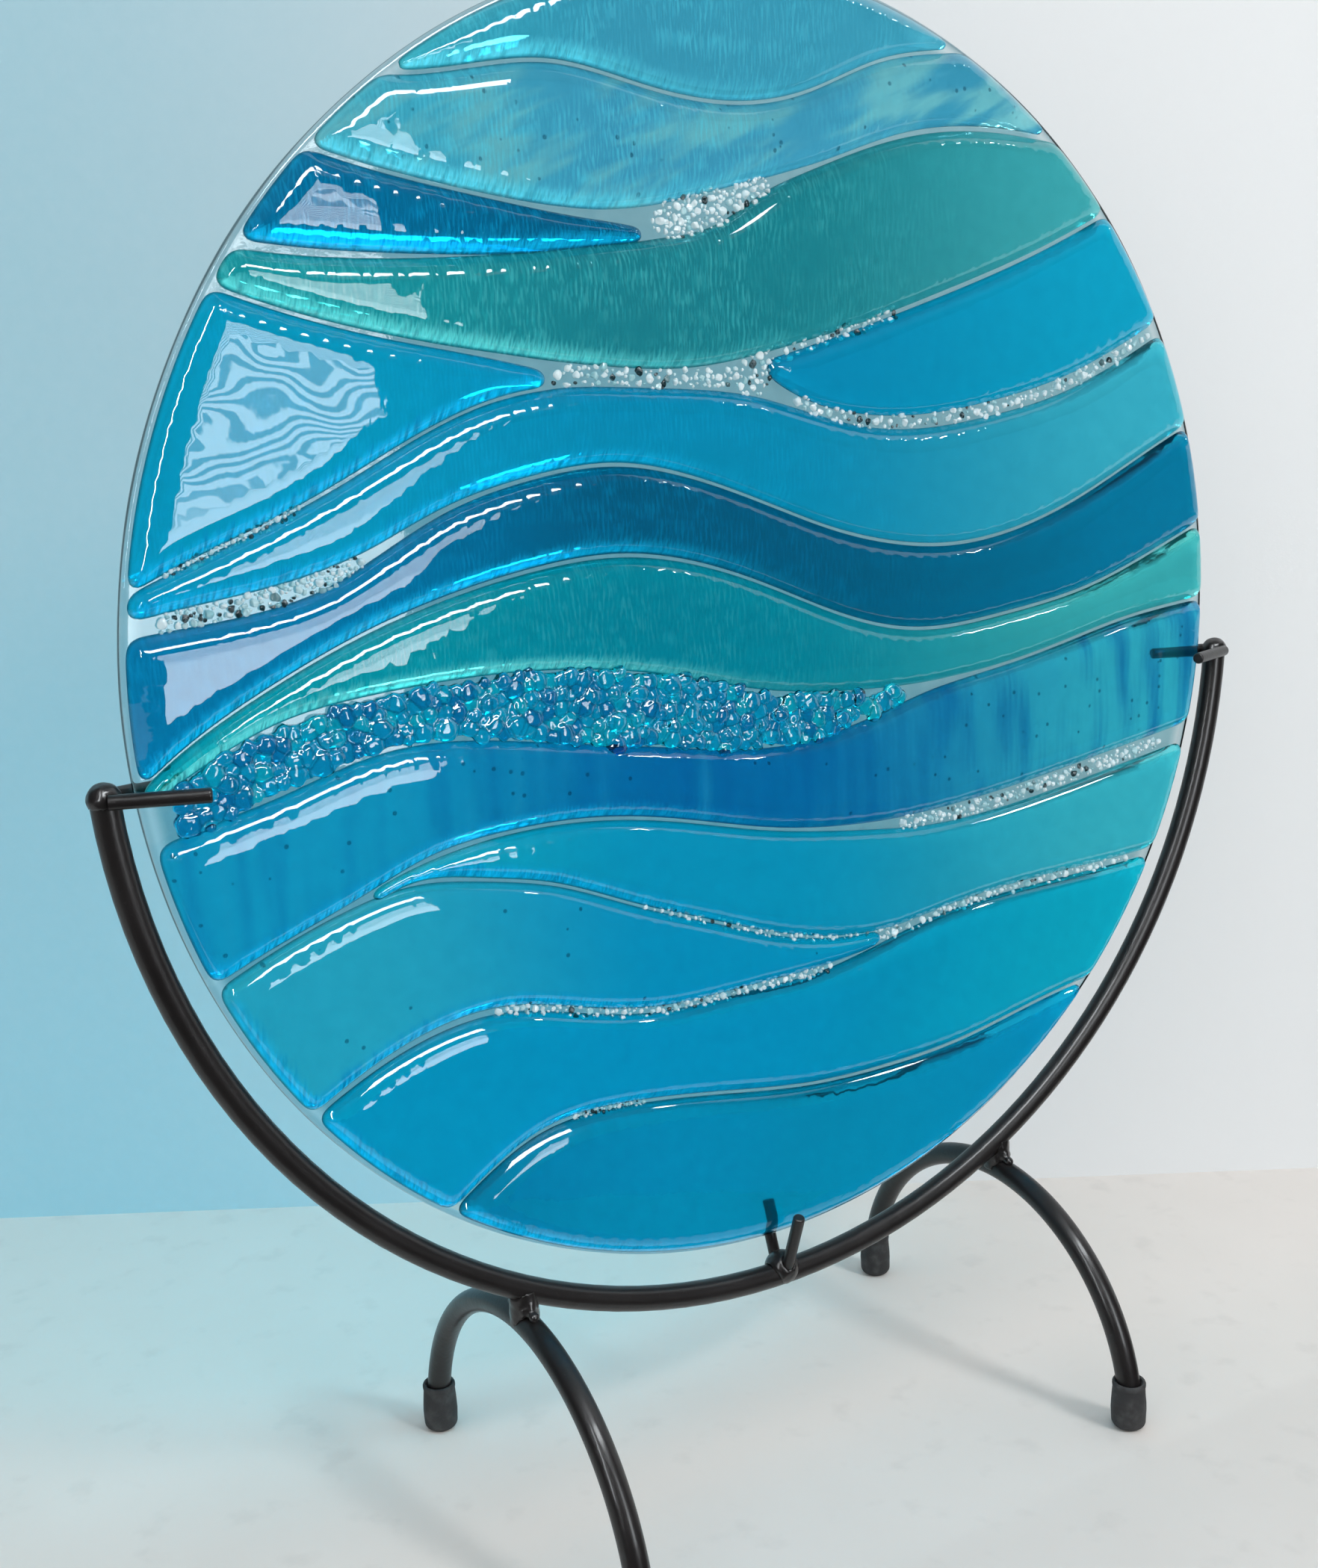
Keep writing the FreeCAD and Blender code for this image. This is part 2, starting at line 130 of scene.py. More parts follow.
class Finish:
    """A material while it is being made."""

    def __init__(self, name):
        self.material = bpy.data.materials.new(name)
        self.material.use_nodes = True
        self.tree = self.material.node_tree
        self.tree.nodes.clear()

    def node(self, kind, settings=None, sockets=None, output=0):
        made = self.tree.nodes.new("ShaderNode" + kind)
        for name, value in (settings or {}).items():
            setattr(made, name, value)
        for name, value in (sockets or {}).items():
            socket = made.inputs[name]
            if isinstance(value, Shade):
                self.tree.links.new(value.socket, socket)
            elif socket.type == "RGBA":
                socket.default_value = (*value, 1.0)
            else:
                socket.default_value = value
        return Shade(self, made.outputs[output])

    def place(self):
        """Where a point lies on the piece, in metres."""
        return self.node("TexCoord", output="Object")

    def stretched(self, share):
        """The place, scaled on each axis: a small share draws a pattern out along it."""
        return self.node("VectorMath", {"operation": "MULTIPLY"}, {0: self.place(), 1: share})

    def turned(self, degrees, share):
        """The place turned in the plane of the disc, then scaled."""
        turn = {"Vector": self.place(), "Angle": math.radians(degrees)}
        place = self.node("VectorRotate", {"rotation_type": "Y_AXIS"}, turn)
        return self.node("VectorMath", {"operation": "MULTIPLY"}, {0: place, 1: share})

    def clouds(self, size, detail, where=None):
        """Soft noise from 0 to 1 in patches of about this size in metres. detail makes it finer."""
        place = where or self.place()
        return self.node("TexNoise", None, {"Vector": place, "Scale": 1 / size, "Detail": detail})

    def painted(self, name):
        """A value that was stored on the mesh."""
        return self.node("Attribute", {"attribute_name": name}, output="Fac")

    def ramp(self, value, low, high):
        """0 below low, 1 above high and a soft step between. With high under low, it falls."""
        flip = high < low
        ends = {"From Min": min(low, high), "From Max": max(low, high)}
        to_ends = {"To Min": float(flip), "To Max": float(not flip)}
        sockets = {"Value": value} | ends | to_ends
        return self.node("MapRange", {"interpolation_type": "SMOOTHSTEP"}, sockets)

    def colour(self, share, first, second):
        """From the first colour to the second as share goes from 0 to 1."""
        return self.node("Mix", {"data_type": "RGBA"}, {0: share, 6: first, 7: second}, output=2)

    def bump(self, height, distance):
        """A skin that stands up by this many metres where height is 1."""
        return self.node("Bump", None, {"Height": height, "Distance": distance})

    def end(self, shader):
        """Makes this shader the surface and returns the material."""
        output = self.tree.nodes.new("ShaderNodeOutputMaterial")
        self.tree.links.new(shader.socket, output.inputs["Surface"])
        return self.material

    def coat(self, sockets):
        """Ends the tree in one Principled shader."""
        return self.end(self.node("BsdfPrincipled", None, sockets))


print("Shade and Finish are ready")

# %% [markdown]
# Colours are easiest to choose as they look on a screen, from 0 to 255 each. The shader wants
# linear light, so paint() turns one into the other. Glass is seen by the light behind it, so
# glass_tint() divides that light out: the tint is what one sheet does to light that passes.
# Behind the left of the disc that light is a little weaker.

# %% Colour helpers
LIGHT_BEHIND = (0.33, 0.425, 0.485)
LEFT_LIGHT = (0.32, 0.37, 0.435)
CLEAREST = 0.97


def paint(*screen):
    """A screen colour, 0 to 255 each, as linear light (the usual screen curve)."""
    return tuple(((s / 255 + 0.055) / 1.055) ** 2.4 if s > 10 else s / 255 / 12.92 for s in screen)


def glass_tint(*screen, light=LIGHT_BEHIND):
    """The tint of a sheet that looks like this with this light behind it, at most CLEAREST."""
    tint = [p / b for p, b in zip(paint(*screen), light)]
    dimmed = max(1, max(tint) / CLEAREST) ** 0.5
    return tuple(min(t / dimmed, CLEAREST) for t in tint)


print("teal glass tint", [round(t, 2) for t in glass_tint(32, 128, 142)])

# %% [markdown]
# The studio is a pale floor and a pale wall that stands close behind the disc. Clear and
# coloured glass take much of their look from what is behind them, so the wall's colour is
# painted: bright at the right, and cyan and darker at the left. That is a painted pool of the
# light that has come through the glass and falls there. It is square to the camera, and it is
# clear from behind, for the views from there.

# %% Floor and wall
WALL_DEPTH, WALL_HEIGHT, WALL_WIDTH = 0.144, 2.4, 7.0
FLOOR_REACH = 4.0
heading = Vector((outlook.x, outlook.y, 0)).normalized()
sideways = Vector((-heading.y, heading.x, 0))


def studio_sheet(name, first, last):
    """A flat sheet from one (depth, height) to another, that runs straight sideways."""
    mesh = bpy.data.meshes.new(name)
    half = sideways * WALL_WIDTH / 2
    edges = [heading * depth + Vector((0, 0, height)) for depth, height in (first, last)]
    corners = [edge + way for edge in edges for way in (half, -half)]
    mesh.from_pydata(corners, [], [(0, 1, 3, 2)])
    piece = bpy.data.objects.new(name, mesh)
    bpy.context.scene.collection.objects.link(piece)
    piece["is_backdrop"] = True
    return piece


floor = studio_sheet("floor", (-FLOOR_REACH, 0), (FLOOR_REACH, 0))
wall = studio_sheet("wall", (WALL_DEPTH, 0), (WALL_DEPTH, WALL_HEIGHT))

finish = Finish("pale_floor")
mottle = finish.clouds(0.05, 4)
fleck = finish.ramp(finish.clouds(0.012, 4), 0.55, 0.75) * 0.5
floor_colour = finish.colour(mottle, (0.68, 0.645, 0.61), (0.75, 0.715, 0.68))
floor_colour = finish.colour(fleck, floor_colour, (0.62, 0.59, 0.56))
floor.data.materials.append(finish.coat({"Base Color": floor_colour, "Roughness": 0.7}))

finish = Finish("pale_wall")
grain = finish.clouds(0.004, 3)
dot = {"operation": "DOT_PRODUCT"}
along = finish.node("VectorMath", dot, {0: finish.place(), 1: sideways}, output="Value")
# Painted light: the wall is painted cyan and darker at the left, for the light that comes through the
# glass.
painted_glass_light = finish.colour(finish.ramp(along, -0.1, 0.25), (0.75, 0.77, 0.78), (0.36, 0.60, 0.69))
wall_colour = finish.colour(grain * 0.1, painted_glass_light, (0.78, 0.82, 0.84))
front = finish.node("BsdfPrincipled", None, {"Base Color": wall_colour, "Roughness": 0.8})
clear = finish.node("BsdfTransparent")
from_behind = finish.node("NewGeometry", output="Backfacing")
both = finish.node("MixShader", None, {0: from_behind, 1: front, 2: clear})
wall.data.materials.append(finish.end(both))
print("floor and wall stand")

# %% [markdown]
# The key light stands high at the front right. Behind coloured glass it should leave a coloured
# shadow, but light that is bent by glass finds its way to the wall only by luck, so a plain lamp
# leaves that shadow grey. Two lamps in one place mend this. The first is stopped by everything.
# The second has the colour that the glass lets through, and only the stand stops it: this is
# light linking, with a collection of the pieces that block. Their sum is white light.

# %% Sky and key light
scene = bpy.context.scene
scene.view_settings.view_transform = "Standard"
scene.world = bpy.data.worlds.new("soft_sky")
scene.world.use_nodes = True
sky = scene.world.node_tree.nodes["Background"]
sky.inputs["Color"].default_value = (0.96, 0.98, 1.0, 1.0)
sky.inputs["Strength"].default_value = 0.9

CENTRE = Vector((0, 0, 0.18))


def softbox(name, place, size, watts, colour):
    """A square soft lamp that faces the middle of the disc."""
    lamp = bpy.data.objects.new(name, bpy.data.lights.new(name, "AREA"))
    scene.collection.objects.link(lamp)
    lamp.data.size = size
    lamp.data.energy = watts
    lamp.data.color = colour
    lamp.location = place
    lamp.rotation_euler = (CENTRE - Vector(place)).to_track_quat("-Z", "Y").to_euler()
    lamp.visible_camera = False
    lamp.visible_glossy = False
    return lamp


KEY_PLACE, KEY_SIZE, KEY_WATTS = (0.5, -1.3, 1.15), 0.3, 12.5
THROUGH_GLASS = (0.26, 0.66, 0.76)
stopped = tuple(1 - c for c in THROUGH_GLASS)
softbox("key_softbox", KEY_PLACE, KEY_SIZE, KEY_WATTS, stopped)
key_through_glass = softbox("key_through_glass", KEY_PLACE, KEY_SIZE, KEY_WATTS, THROUGH_GLASS)
stand_blocks = bpy.data.collections.new("stand_blocks")
key_through_glass.light_linking.blocker_collection = stand_blocks
print("sky and key light are set")

# %% [markdown]
# Glass shows its shape mostly by what it mirrors, so it gets things to mirror: a window with
# slats at its foot, a panel overhead and three small cards that give glints. A dark room and a
# dark card keep the rest deep, as a camera sees them in a dim room. All of these show only in
# reflections, so they neither light the object nor throw a shadow. Their corners are in mm.

# %% Window, panels and dark room
SLAT_SCALE = 34
SLATS_TOP, SLATS_FADE = 0.2, 0.04
ONE_FACE = [(0, 1, 2, 3)]


def reflector(name, points, faces, strength, slats=0.0):
    """A panel that shows only in reflections. slats is the share of light that slats take away."""
    mesh = bpy.data.meshes.new(name)
    mesh.from_pydata([Vector(p) * MM for p in points], [], faces)
    panel = bpy.data.objects.new(name, mesh)
    scene.collection.objects.link(panel)
    panel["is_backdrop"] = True
    for kind in ("camera", "diffuse", "transmission", "shadow", "volume_scatter"):
        setattr(panel, "visible_" + kind, False)
    shine = Finish(name)
    bands = {"wave_type": "BANDS", "bands_direction": "Z", "wave_profile": "SIN"}
    slat = shine.node("TexWave", bands, {"Vector": shine.place(), "Scale": SLAT_SCALE})
    height = shine.node("SeparateXYZ", None, {0: shine.place()}, output="Z")
    low_down = shine.ramp(height, SLATS_TOP, SLATS_TOP + SLATS_FADE)
    light = 1 - shine.ramp(slat, 0.6, 0.25) * low_down * slats
    glow = shine.node("Emission", None, {"Color": (0.92, 0.97, 1.0), "Strength": light * strength})
    mesh.materials.append(shine.end(glow))
    shine.material.cycles.emission_sampling = "NONE"


def upright(left, right, y, low, high):
    """The corners of a rectangle that stands at y."""
    return [(left, y, low), (right, y, low), (right, y, high), (left, y, high)]


reflector("window_panel", upright(-34, 124, -500, 96, 425), ONE_FACE, 9.5, slats=0.72)
overhead = [(-260, -405, 600), (150, -405, 600), (150, -350, 715), (-260, -350, 715)]
reflector("overhead_panel", overhead, ONE_FACE, 26.0)

GLINT_STRENGTH = 45.0
GLINT_CARDS = [  # where each one is, and half its width and height
    ("left", (-700, -450, 600), 22, 330),
    ("right", (650, -350, 900), 22, 22),
    ("high", (-50, -700, 1000), 25, 25),
]
for side, spot, half_width, half_height in GLINT_CARDS:
    aim = (CENTRE / MM - Vector(spot)).normalized()
    across = aim.cross(Vector((0, 0, 1))).normalized()
    over = across.cross(aim).normalized() * half_height
    across = across * half_width
    corners = [Vector(spot) + across * a + over * b for a, b in ((-1, -1), (1, -1), (1, 1), (-1, 1))]
    reflector(side + "_glint_card", corners, ONE_FACE, GLINT_STRENGTH)

ROOM_REACH, ROOM_HEIGHT, ROOM_SIDES = 1900, 1900, 24
ABOVE_FLOOR = 1
bearings = [math.tau * i / ROOM_SIDES for i in range(ROOM_SIDES)]
room_ring = [(ROOM_REACH * math.cos(a), ROOM_REACH * math.sin(a)) for a in bearings]
room = [(*spot, height) for height in (ABOVE_FLOOR, ROOM_HEIGHT) for spot in room_ring]
beside = [(i, (i + 1) % ROOM_SIDES) for i in range(ROOM_SIDES)]
reflector("dark_room", room, [(i, j, j + ROOM_SIDES, i + ROOM_SIDES) for i, j in beside], 0.05)
card = [(-900, -1800), (1500, -1800), (1500, -62), (-900, -62)]
reflector("dark_card", [(x, y, ABOVE_FLOOR) for x, y in card], ONE_FACE, 0.04)
reflector("dark_ceiling", room[ROOM_SIDES:], [tuple(range(ROOM_SIDES))], 0.12)
print("panels are set")

# %% [markdown]
# The stand is 6 mm rod under black paint. Brushed or dipped paint dries a little uneven: it is
# satin all over, with a thin gloss on top and a fine skin that breaks up long highlights.
# The rods of the model have the right shape, so they keep it and only get this finish.

# %% Paint for the rods


def black_paint(name, skin_size, skin_depth, gloss):
    """Black paint with an uneven skin, worn a little grey in places."""
    finish = Finish(name)
    patches = finish.clouds(0.012, 4)
    worn = finish.ramp(finish.clouds(0.0011, 3), 0.62, 0.8) * 0.4
    black = finish.colour(patches, (0.006, 0.005, 0.005), (0.011, 0.009, 0.009))
    shade = finish.colour(worn, black, (0.036, 0.033, 0.033))
    skin = finish.clouds(skin_size, 2) + finish.clouds(skin_size * 4, 1) * 2
    return finish.coat(
        {
            "Base Color": shade,
            "Roughness": patches * 0.16 + 0.3,
            "Coat Weight": gloss,
            "Coat Roughness": 0.12,
            "Specular IOR Level": 0.36,
            "Normal": finish.bump(skin, skin_depth),
        }
    )


rod_paint = black_paint("painted_rod_finish", 0.0012, 0.00004, 0.25)
weld_paint = black_paint("painted_weld_finish", 0.0009, 0.00006, 0.5)
RODS = ["cradle_ring", "left_arch_leg", "right_arch_leg"]
CLIPS = ["left_clip", "right_clip", "bottom_clip"]
prongs = [f"{clip}_{side}_prong" for clip in CLIPS for side in ("front", "back")]
for name in RODS + prongs:
    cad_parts[name].material_slots[0].material = rod_paint
    stand_blocks.objects.link(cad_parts[name])
print("painted", len(RODS + prongs), "rods")

# %% [markdown]
# Each joint of the stand is a weld: a puddle of metal with ripples where it froze bead by
# bead, under the same paint. The model holds it as a plain nugget. Here that nugget is cut
# into fine even cells (a remesh), beads are melted into it, and its skin is pushed about by noise.

# %% Welds
VOXEL = 0.35 * MM
LUMP_SIZE, LUMP_HEIGHT = 1.4 * MM, 0.12 * MM
WELD_SMOOTHING = 9


def joined_mesh(meshes):
    """One mesh made of several."""
    whole = bmesh.new()
    for part in meshes:
        whole.from_mesh(part)
    mesh = bpy.data.meshes.new("joined")
    whole.to_mesh(mesh)
    whole.free()
    return mesh


def bead_mesh(place, radius, flat):
    """A small ball of weld metal."""
    ball = bmesh.new()
    bmesh.ops.create_icosphere(ball, subdivisions=3, radius=radius)
    put = Matrix.Translation(place) @ Matrix.Diagonal((1, 1, flat, 1))
    bmesh.ops.transform(ball, matrix=put, verts=ball.verts)
    mesh = bpy.data.meshes.new("bead")
    ball.to_mesh(mesh)
    ball.free()
    return mesh


def show(mesh, name, finish, body, slot, *nodes):
    """Puts a finished mesh in the scene as a piece of the object."""
    mesh.materials.clear()
    mesh.materials.append(finish)
    piece = bpy.data.objects.new(name, mesh)
    scene.collection.objects.link(piece)
    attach(piece, body)
    if body == "stand":
        stand_blocks.objects.link(piece)
    if nodes:
        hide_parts(*nodes)


def melted(mesh, name, lumps, seed, cell, smoothing):
    """The mesh remeshed into one skin, smoothed and pushed about."""
    piece = bpy.data.objects.new(name, mesh)
    scene.collection.objects.link(piece)
    remesh = piece.modifiers.new("melt", "REMESH")
    remesh.mode = "VOXEL"
    remesh.voxel_size = cell
    smooth = piece.modifiers.new("smooth", "SMOOTH")
    smooth.factor, smooth.iterations = 0.6, smoothing
    evaluated = piece.evaluated_get(bpy.context.evaluated_depsgraph_get())
    skin = bpy.data.meshes.new_from_object(evaluated)
    bpy.data.objects.remove(piece)
    skin.update()
    offset = Vector((seed * 1.7, seed * 0.9, seed * 2.3))
    moves = [v.normal * (noise.noise(v.co / LUMP_SIZE + offset) * lumps) for v in skin.vertices]
    for v, move in zip(skin.vertices, moves):
        v.co += move
    skin.shade_smooth()
    return skin


def weld(name, beads, seed):
    """Replaces a weld of the model by a rippled one."""
    parts = [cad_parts[name].data] + [bead_mesh(*bead) for bead in beads]
    skin = melted(joined_mesh(parts), name + "_shape", LUMP_HEIGHT, seed, VOXEL, WELD_SMOOTHING)
    show(skin, name + "_bead", weld_paint, "stand", "painted_weld", name)
    print(name, len(skin.vertices), "points")


# The beads round a leg's neck: place and radius in mm, the place from the middle of the weld.
SADDLE = [(0, -5.0, 58.0, 1.8), (0, 0.7, 58.0, 2.0), (-2.2, -2.4, 59.8, 1.6), (2.2, -2.4, 58.6, 1.6)]
SADDLE += [(0.4, -5.0, 59.9, 1.2), (0, -7.2, 56.6, 1.3), (0, 3.4, 56.6, 1.4), (-1.4, -5.0, 57.4, 1.1)]
for seed, (side, turned_to) in enumerate((("left", 1), ("right", -1))):
    low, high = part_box(side + "_leg_weld")
    middle = (low.x + high.x) / 2
    beads = [
        (Vector((middle + x * turned_to * MM, y * MM, z * MM)), radius * MM, 1.0)
        for x, y, z, radius in SADDLE
    ]
    weld(side + "_leg_weld", beads, seed)
    weld(side + "_clip_weld", [], seed + 10)
low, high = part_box("bottom_clip_weld")
foot = (low + high) / 2
spots = [(-2.6, -1.6, 0.1), (2.4, -1.9, 0.3), (-1.0, -2.6, 0.5)]
spots += [(1.2, -2.5, 0.2), (-2.2, 1.9, 0.2), (2.2, 1.7, 0.1)]
BEAD_RADIUS, BEAD_FLAT = 1.1 * MM, 0.8
weld("bottom_clip_weld", [(foot + Vector(spot) * MM, BEAD_RADIUS, BEAD_FLAT) for spot in spots], 21)

# %% [markdown]
# A foot cap is moulded rubber pushed over the end of the rod. It is turned, so its outline is
# a profile spun about an upright axis: a rounded sole, walls that lean in towards the top and
# a thin rolled lip. Dull rubber scatters light, and dust and rubbing make it paler in patches.

# %% Foot caps
CAP_POINTS = 64
CAP_WOBBLE, CAP_PATCH = 0.06 * MM, 4 * MM
QUARTER_TURN = [math.radians(a) for a in range(0, 91, 10)]
WALL_IN, FLOOR_IN = 3.0 * MM, 1.5 * MM
SOLE_ROUND = 0.42
FLANK = (0.935, 0.3), (0.945, 0.4), (0.93, 0.55), (0.9, 0.7), (0.875, 0.83)
LIP = (0.865, 0.87), (0.885, 0.89), (0.9, 0.93), (0.895, 0.97), (0.86, 1.0)


def rubber():
    """Dull black rubber, paler where it is dusty or rubbed."""
    finish = Finish("foot_rubber_finish")
    dust = finish.clouds(0.003, 5)
    worn = finish.colour(finish.ramp(dust, 0.4, 0.75), (0.020, 0.020, 0.021), (0.055, 0.055, 0.056))
    grain = finish.clouds(0.0004, 2) + finish.clouds(0.0015, 3)
    skin = finish.bump(grain, 0.00006)
    return finish.coat({"Base Color": worn, "Roughness": dust * 0.25 + 0.6, "Normal": skin})


def spun(profile, place, wobble, seed):
    """A closed mesh from a profile of (radius, height) points, spun about an upright axis."""
    mesh = bpy.data.meshes.new("spun")
    points, faces = [], []
    for r, z in profile:
        for i in range(CAP_POINTS):
            a = math.tau * i / CAP_POINTS
            spot = Vector((math.cos(a), math.sin(a), z / CAP_PATCH + seed))
            grown = r + wobble * noise.noise(spot * 1.3)
            points.append(place + Vector((math.cos(a) * grown, math.sin(a) * grown, z)))
    rows = len(profile)
    for row in range(rows):
        for i in range(CAP_POINTS):
            j, above = (i + 1) % CAP_POINTS, (row + 1) % rows
            ring = row * CAP_POINTS, above * CAP_POINTS
            faces.append((ring[0] + i, ring[0] + j, ring[1] + j, ring[1] + i))
    mesh.from_pydata(points, [], faces)
    mesh.shade_smooth()
    return mesh


rubber_finish = rubber()
for seed, side in enumerate(("left_front", "left_back", "right_front", "right_back")):
    node = side + "_foot_cap"
    low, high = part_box(node)
    place = Vector(((low.x + high.x) / 2, (low.y + high.y) / 2, 0))
    wide, tall = (high.x - low.x) / 2, high.z
    sole = [
        (wide * math.sin(a) * SOLE_ROUND + wide * 0.5, wide * SOLE_ROUND * (1 - math.cos(a)))
        for a in QUARTER_TURN
    ]
    outside = [(wide * share, tall * level) for share, level in FLANK + LIP]
    inside = [(wide * 0.76, tall), (wide * 0.7, tall * 0.98)]
    inside += [(WALL_IN, tall * 0.9), (WALL_IN, FLOOR_IN)]
    core = [(0.2 * MM, FLOOR_IN), (0.2 * MM, 0.25 * MM), (wide * 0.3, 0.0), (wide * 0.46, 0.0)]
    mesh = spun(core[2:] + sole + outside + inside + core[:2], place, CAP_WOBBLE, seed)
    show(mesh, node + "_rubber", rubber_finish, "stand", "foot_rubber", node)
print("four foot caps are on")

# %% [markdown]
# The strips are cut from sheet and fused to the clear base. In the kiln their edges slump and
# round over, so each one is a pillow: flat in the middle, falling in a soft curve at the
# edge. The fall is never steeper than about 55 degrees, or the glass would trap the light that
# enters there and look black. The outline of each strip is read from the flat back of its node.
# It is evened out, which also rounds its corners as heat does, and filled with points in rings
# along the edge and a grid inside. A point's height follows from its distance to the edge.

# %% Read the outline of a strip
STEP = 0.8 * MM
ROUNDING_PASSES = 9
SAME_PLACE = 0.001 * MM
CHUNK = 400


def back_loop(node):
    """The edge of a strip's flat back as ordered (x, z) points."""
    whole = bmesh.new()
    whole.from_mesh(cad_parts[node].data)
    bmesh.ops.remove_doubles(whole, verts=whole.verts, dist=SAME_PLACE)
    back = max(v.co.y for v in whole.verts)
    flat = {f for f in whole.faces if all(abs(v.co.y - back) < SAME_PLACE for v in f.verts)}
    rim = [e for e in whole.edges if sum(f in flat for f in e.link_faces) == 1]
    beside = {}
    for e in rim:
        for v, w in (e.verts, reversed(e.verts)):
            beside.setdefault(v, []).append(w)
    start = here = rim[0].verts[0]
    before, loop = None, []
    while here is not start or not loop:
        loop.append((here.co.x, here.co.z))
        ahead = [v for v in beside[here] if v is not before]
        before, here = here, ahead[0]
    whole.free()
    return np.array(loop), back


def evened(loop, step, passes):
    """The loop with even steps, anticlockwise, its corners rounded by averaging."""
    closed = np.vstack([loop, loop[:1]])
    along = np.concatenate([[0], np.cumsum(np.hypot(*np.diff(closed, axis=0).T))])
    count = max(24, round(along[-1] / step))
    at = np.linspace(0, along[-1], count, endpoint=False)
    even = np.stack([np.interp(at, along, closed[:, k]) for k in (0, 1)], 1)
    for _ in range(passes):
        even = (np.roll(even, 1, 0) + 2 * even + np.roll(even, -1, 0)) / 4
    area = np.sum(even[:, 0] * np.roll(even[:, 1], -1) - np.roll(even[:, 0], -1) * even[:, 1])
    return even if area > 0 else even[::-1]


def outward(loop):
    """The unit normals of an anticlockwise loop, pointing out of it."""
    along = np.roll(loop, -1, 0) - np.roll(loop, 1, 0)
    along /= np.hypot(*along.T)[:, None]
    return np.stack([along[:, 1], -along[:, 0]], 1)


def edge_distance(points, loop):
    """Each point's distance to the loop, and the place on the loop that it is nearest to."""
    gaps, nearest = np.empty(len(points)), np.empty(len(points), int)
    for first in range(0, len(points), CHUNK):
        some = slice(first, first + CHUNK)
        apart = np.hypot(*(points[some, None, k] - loop[None, :, k] for k in (0, 1)))
        nearest[some] = apart.argmin(1)
        gaps[some] = apart.min(1)
    return gaps, nearest


STRIP_NODES = """sky_cap streaky_crest deep_blue_taper upper_teal_wave left_blue_sail
right_blue_wave long_turquoise_wave navy_wave lower_teal_wave streaky_blue_wave
pale_blue_wedge lens_blue_wave bright_blue_wave seabed_cap""".split()
read = {node: back_loop(node) for node in STRIP_NODES}
outlines = {node: evened(loop, STEP, ROUNDING_PASSES) for node, (loop, _) in read.items()}
print(len(outlines), "outlines,", sum(map(len, outlines.values())), "points")

# %% [markdown]
# The strips of the model keep 2.4 mm apart, as they were laid out cold. Soft glass spreads, so
# each one runs out until it nearly meets its neighbour, and a little further where a wider
# joint leaves it room. At the rim it stops just short of the edge of the base.

# %% Let the strips spread
SPREAD, SEAM_SPREAD = 0.8 * MM, 0.95 * MM
low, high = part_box("clear_base_disc")
disc_middle = np.array([(low.x + high.x) / 2, (low.z + high.z) / 2])
DISC_RADIUS = (high.x - low.x) / 2
RIM_MARGIN, NEAR_RIM, RIM_FADE = 1.0 * MM, 2.4 * MM, 1.5 * MM
JOINT_WIDTH, JOINT_FADE = 3.0, 1.0
GROWTH_PASSES = 6


def spread(node):
    """The outline moved outward, a little further where no strip is near."""
    loop = outlines[node]
    others = np.vstack([other for name, other in outlines.items() if name != node])
    gaps, _ = edge_distance(loop, others)
    share = np.clip((gaps / MM - JOINT_WIDTH) / JOINT_FADE, 0, 1)
    from_middle = loop - disc_middle
    reach = np.hypot(*from_middle.T)
    share = share * np.clip((DISC_RADIUS - NEAR_RIM - reach) / RIM_FADE, 0, 1)
    growth = SPREAD + (SEAM_SPREAD - SPREAD) * share
    for _ in range(GROWTH_PASSES):
        growth = (np.roll(growth, 1) + 2 * growth + np.roll(growth, -1)) / 4
    grown = loop + outward(loop) * growth[:, None]
    from_middle = grown - disc_middle
    reach = np.hypot(*from_middle.T)
    most = DISC_RADIUS - RIM_MARGIN
    return disc_middle + from_middle * np.minimum(1, most / reach)[:, None]


spread_outlines = {node: spread(node) for node in STRIP_NODES}
gains = [np.abs(spread_outlines[n] - outlines[n]).max() / MM for n in STRIP_NODES]
print("the edges moved by up to", round(max(gains), 2), "mm")

# %% [markdown]
# The points are joined by a Delaunay triangulation, which picks the triangles that are least
# like splinters, so a soft curve stays smooth. Heights rise from the edge, are evened out where
# they would make a crest, and swell a little, because a sheet never lies quite flat. Three
# numbers are stored at each point for the finish: the distance to the edge in mm (rim), 1 on the
# front and 0 on the back (front), and how far the nearest edge faces down (under).

# %% Build a pillow
SLOPE = 5.3 * MM
RINGS = [0.12, 0.35, 0.7, 1.1, 1.6, 2.1, 2.7, 3.3, 4.0, 4.7, 5.4]
SPARSE_FROM = 4.5
RING_SHARE = 0.93
GRID, GRID_CLEAR = 1.6 * MM, 0.9
LIFT_OFF_BASE = 0.02 * MM
SOFT_EDGE = 0.2 * MM
WIDE_SWELL, SMALL_SWELL, SINK = (23, 0.15), (10, 0.09), 0.12
SWELLS_FROM, SWELLS_OVER = 2.0, 5.0
EVEN_FROM, EVEN_OVER, EVEN_PASSES = 2.2, 2.0, 6


def inside_loop(points, loop):
    """True where a point lies inside the loop, by counting crossings."""
    x, z = points[:, 0, None], points[:, 1, None]
    x1, z1 = loop[None, :, 0], loop[None, :, 1]
    x2, z2 = np.roll(x1, -1, 1), np.roll(z1, -1, 1)
    spans = (z1 > z) != (z2 > z)
    with np.errstate(divide="ignore", invalid="ignore"):
        crossing = x < (x2 - x1) * (z - z1) / (z2 - z1) + x1
    return (np.sum(spans & crossing, 1) % 2) == 1


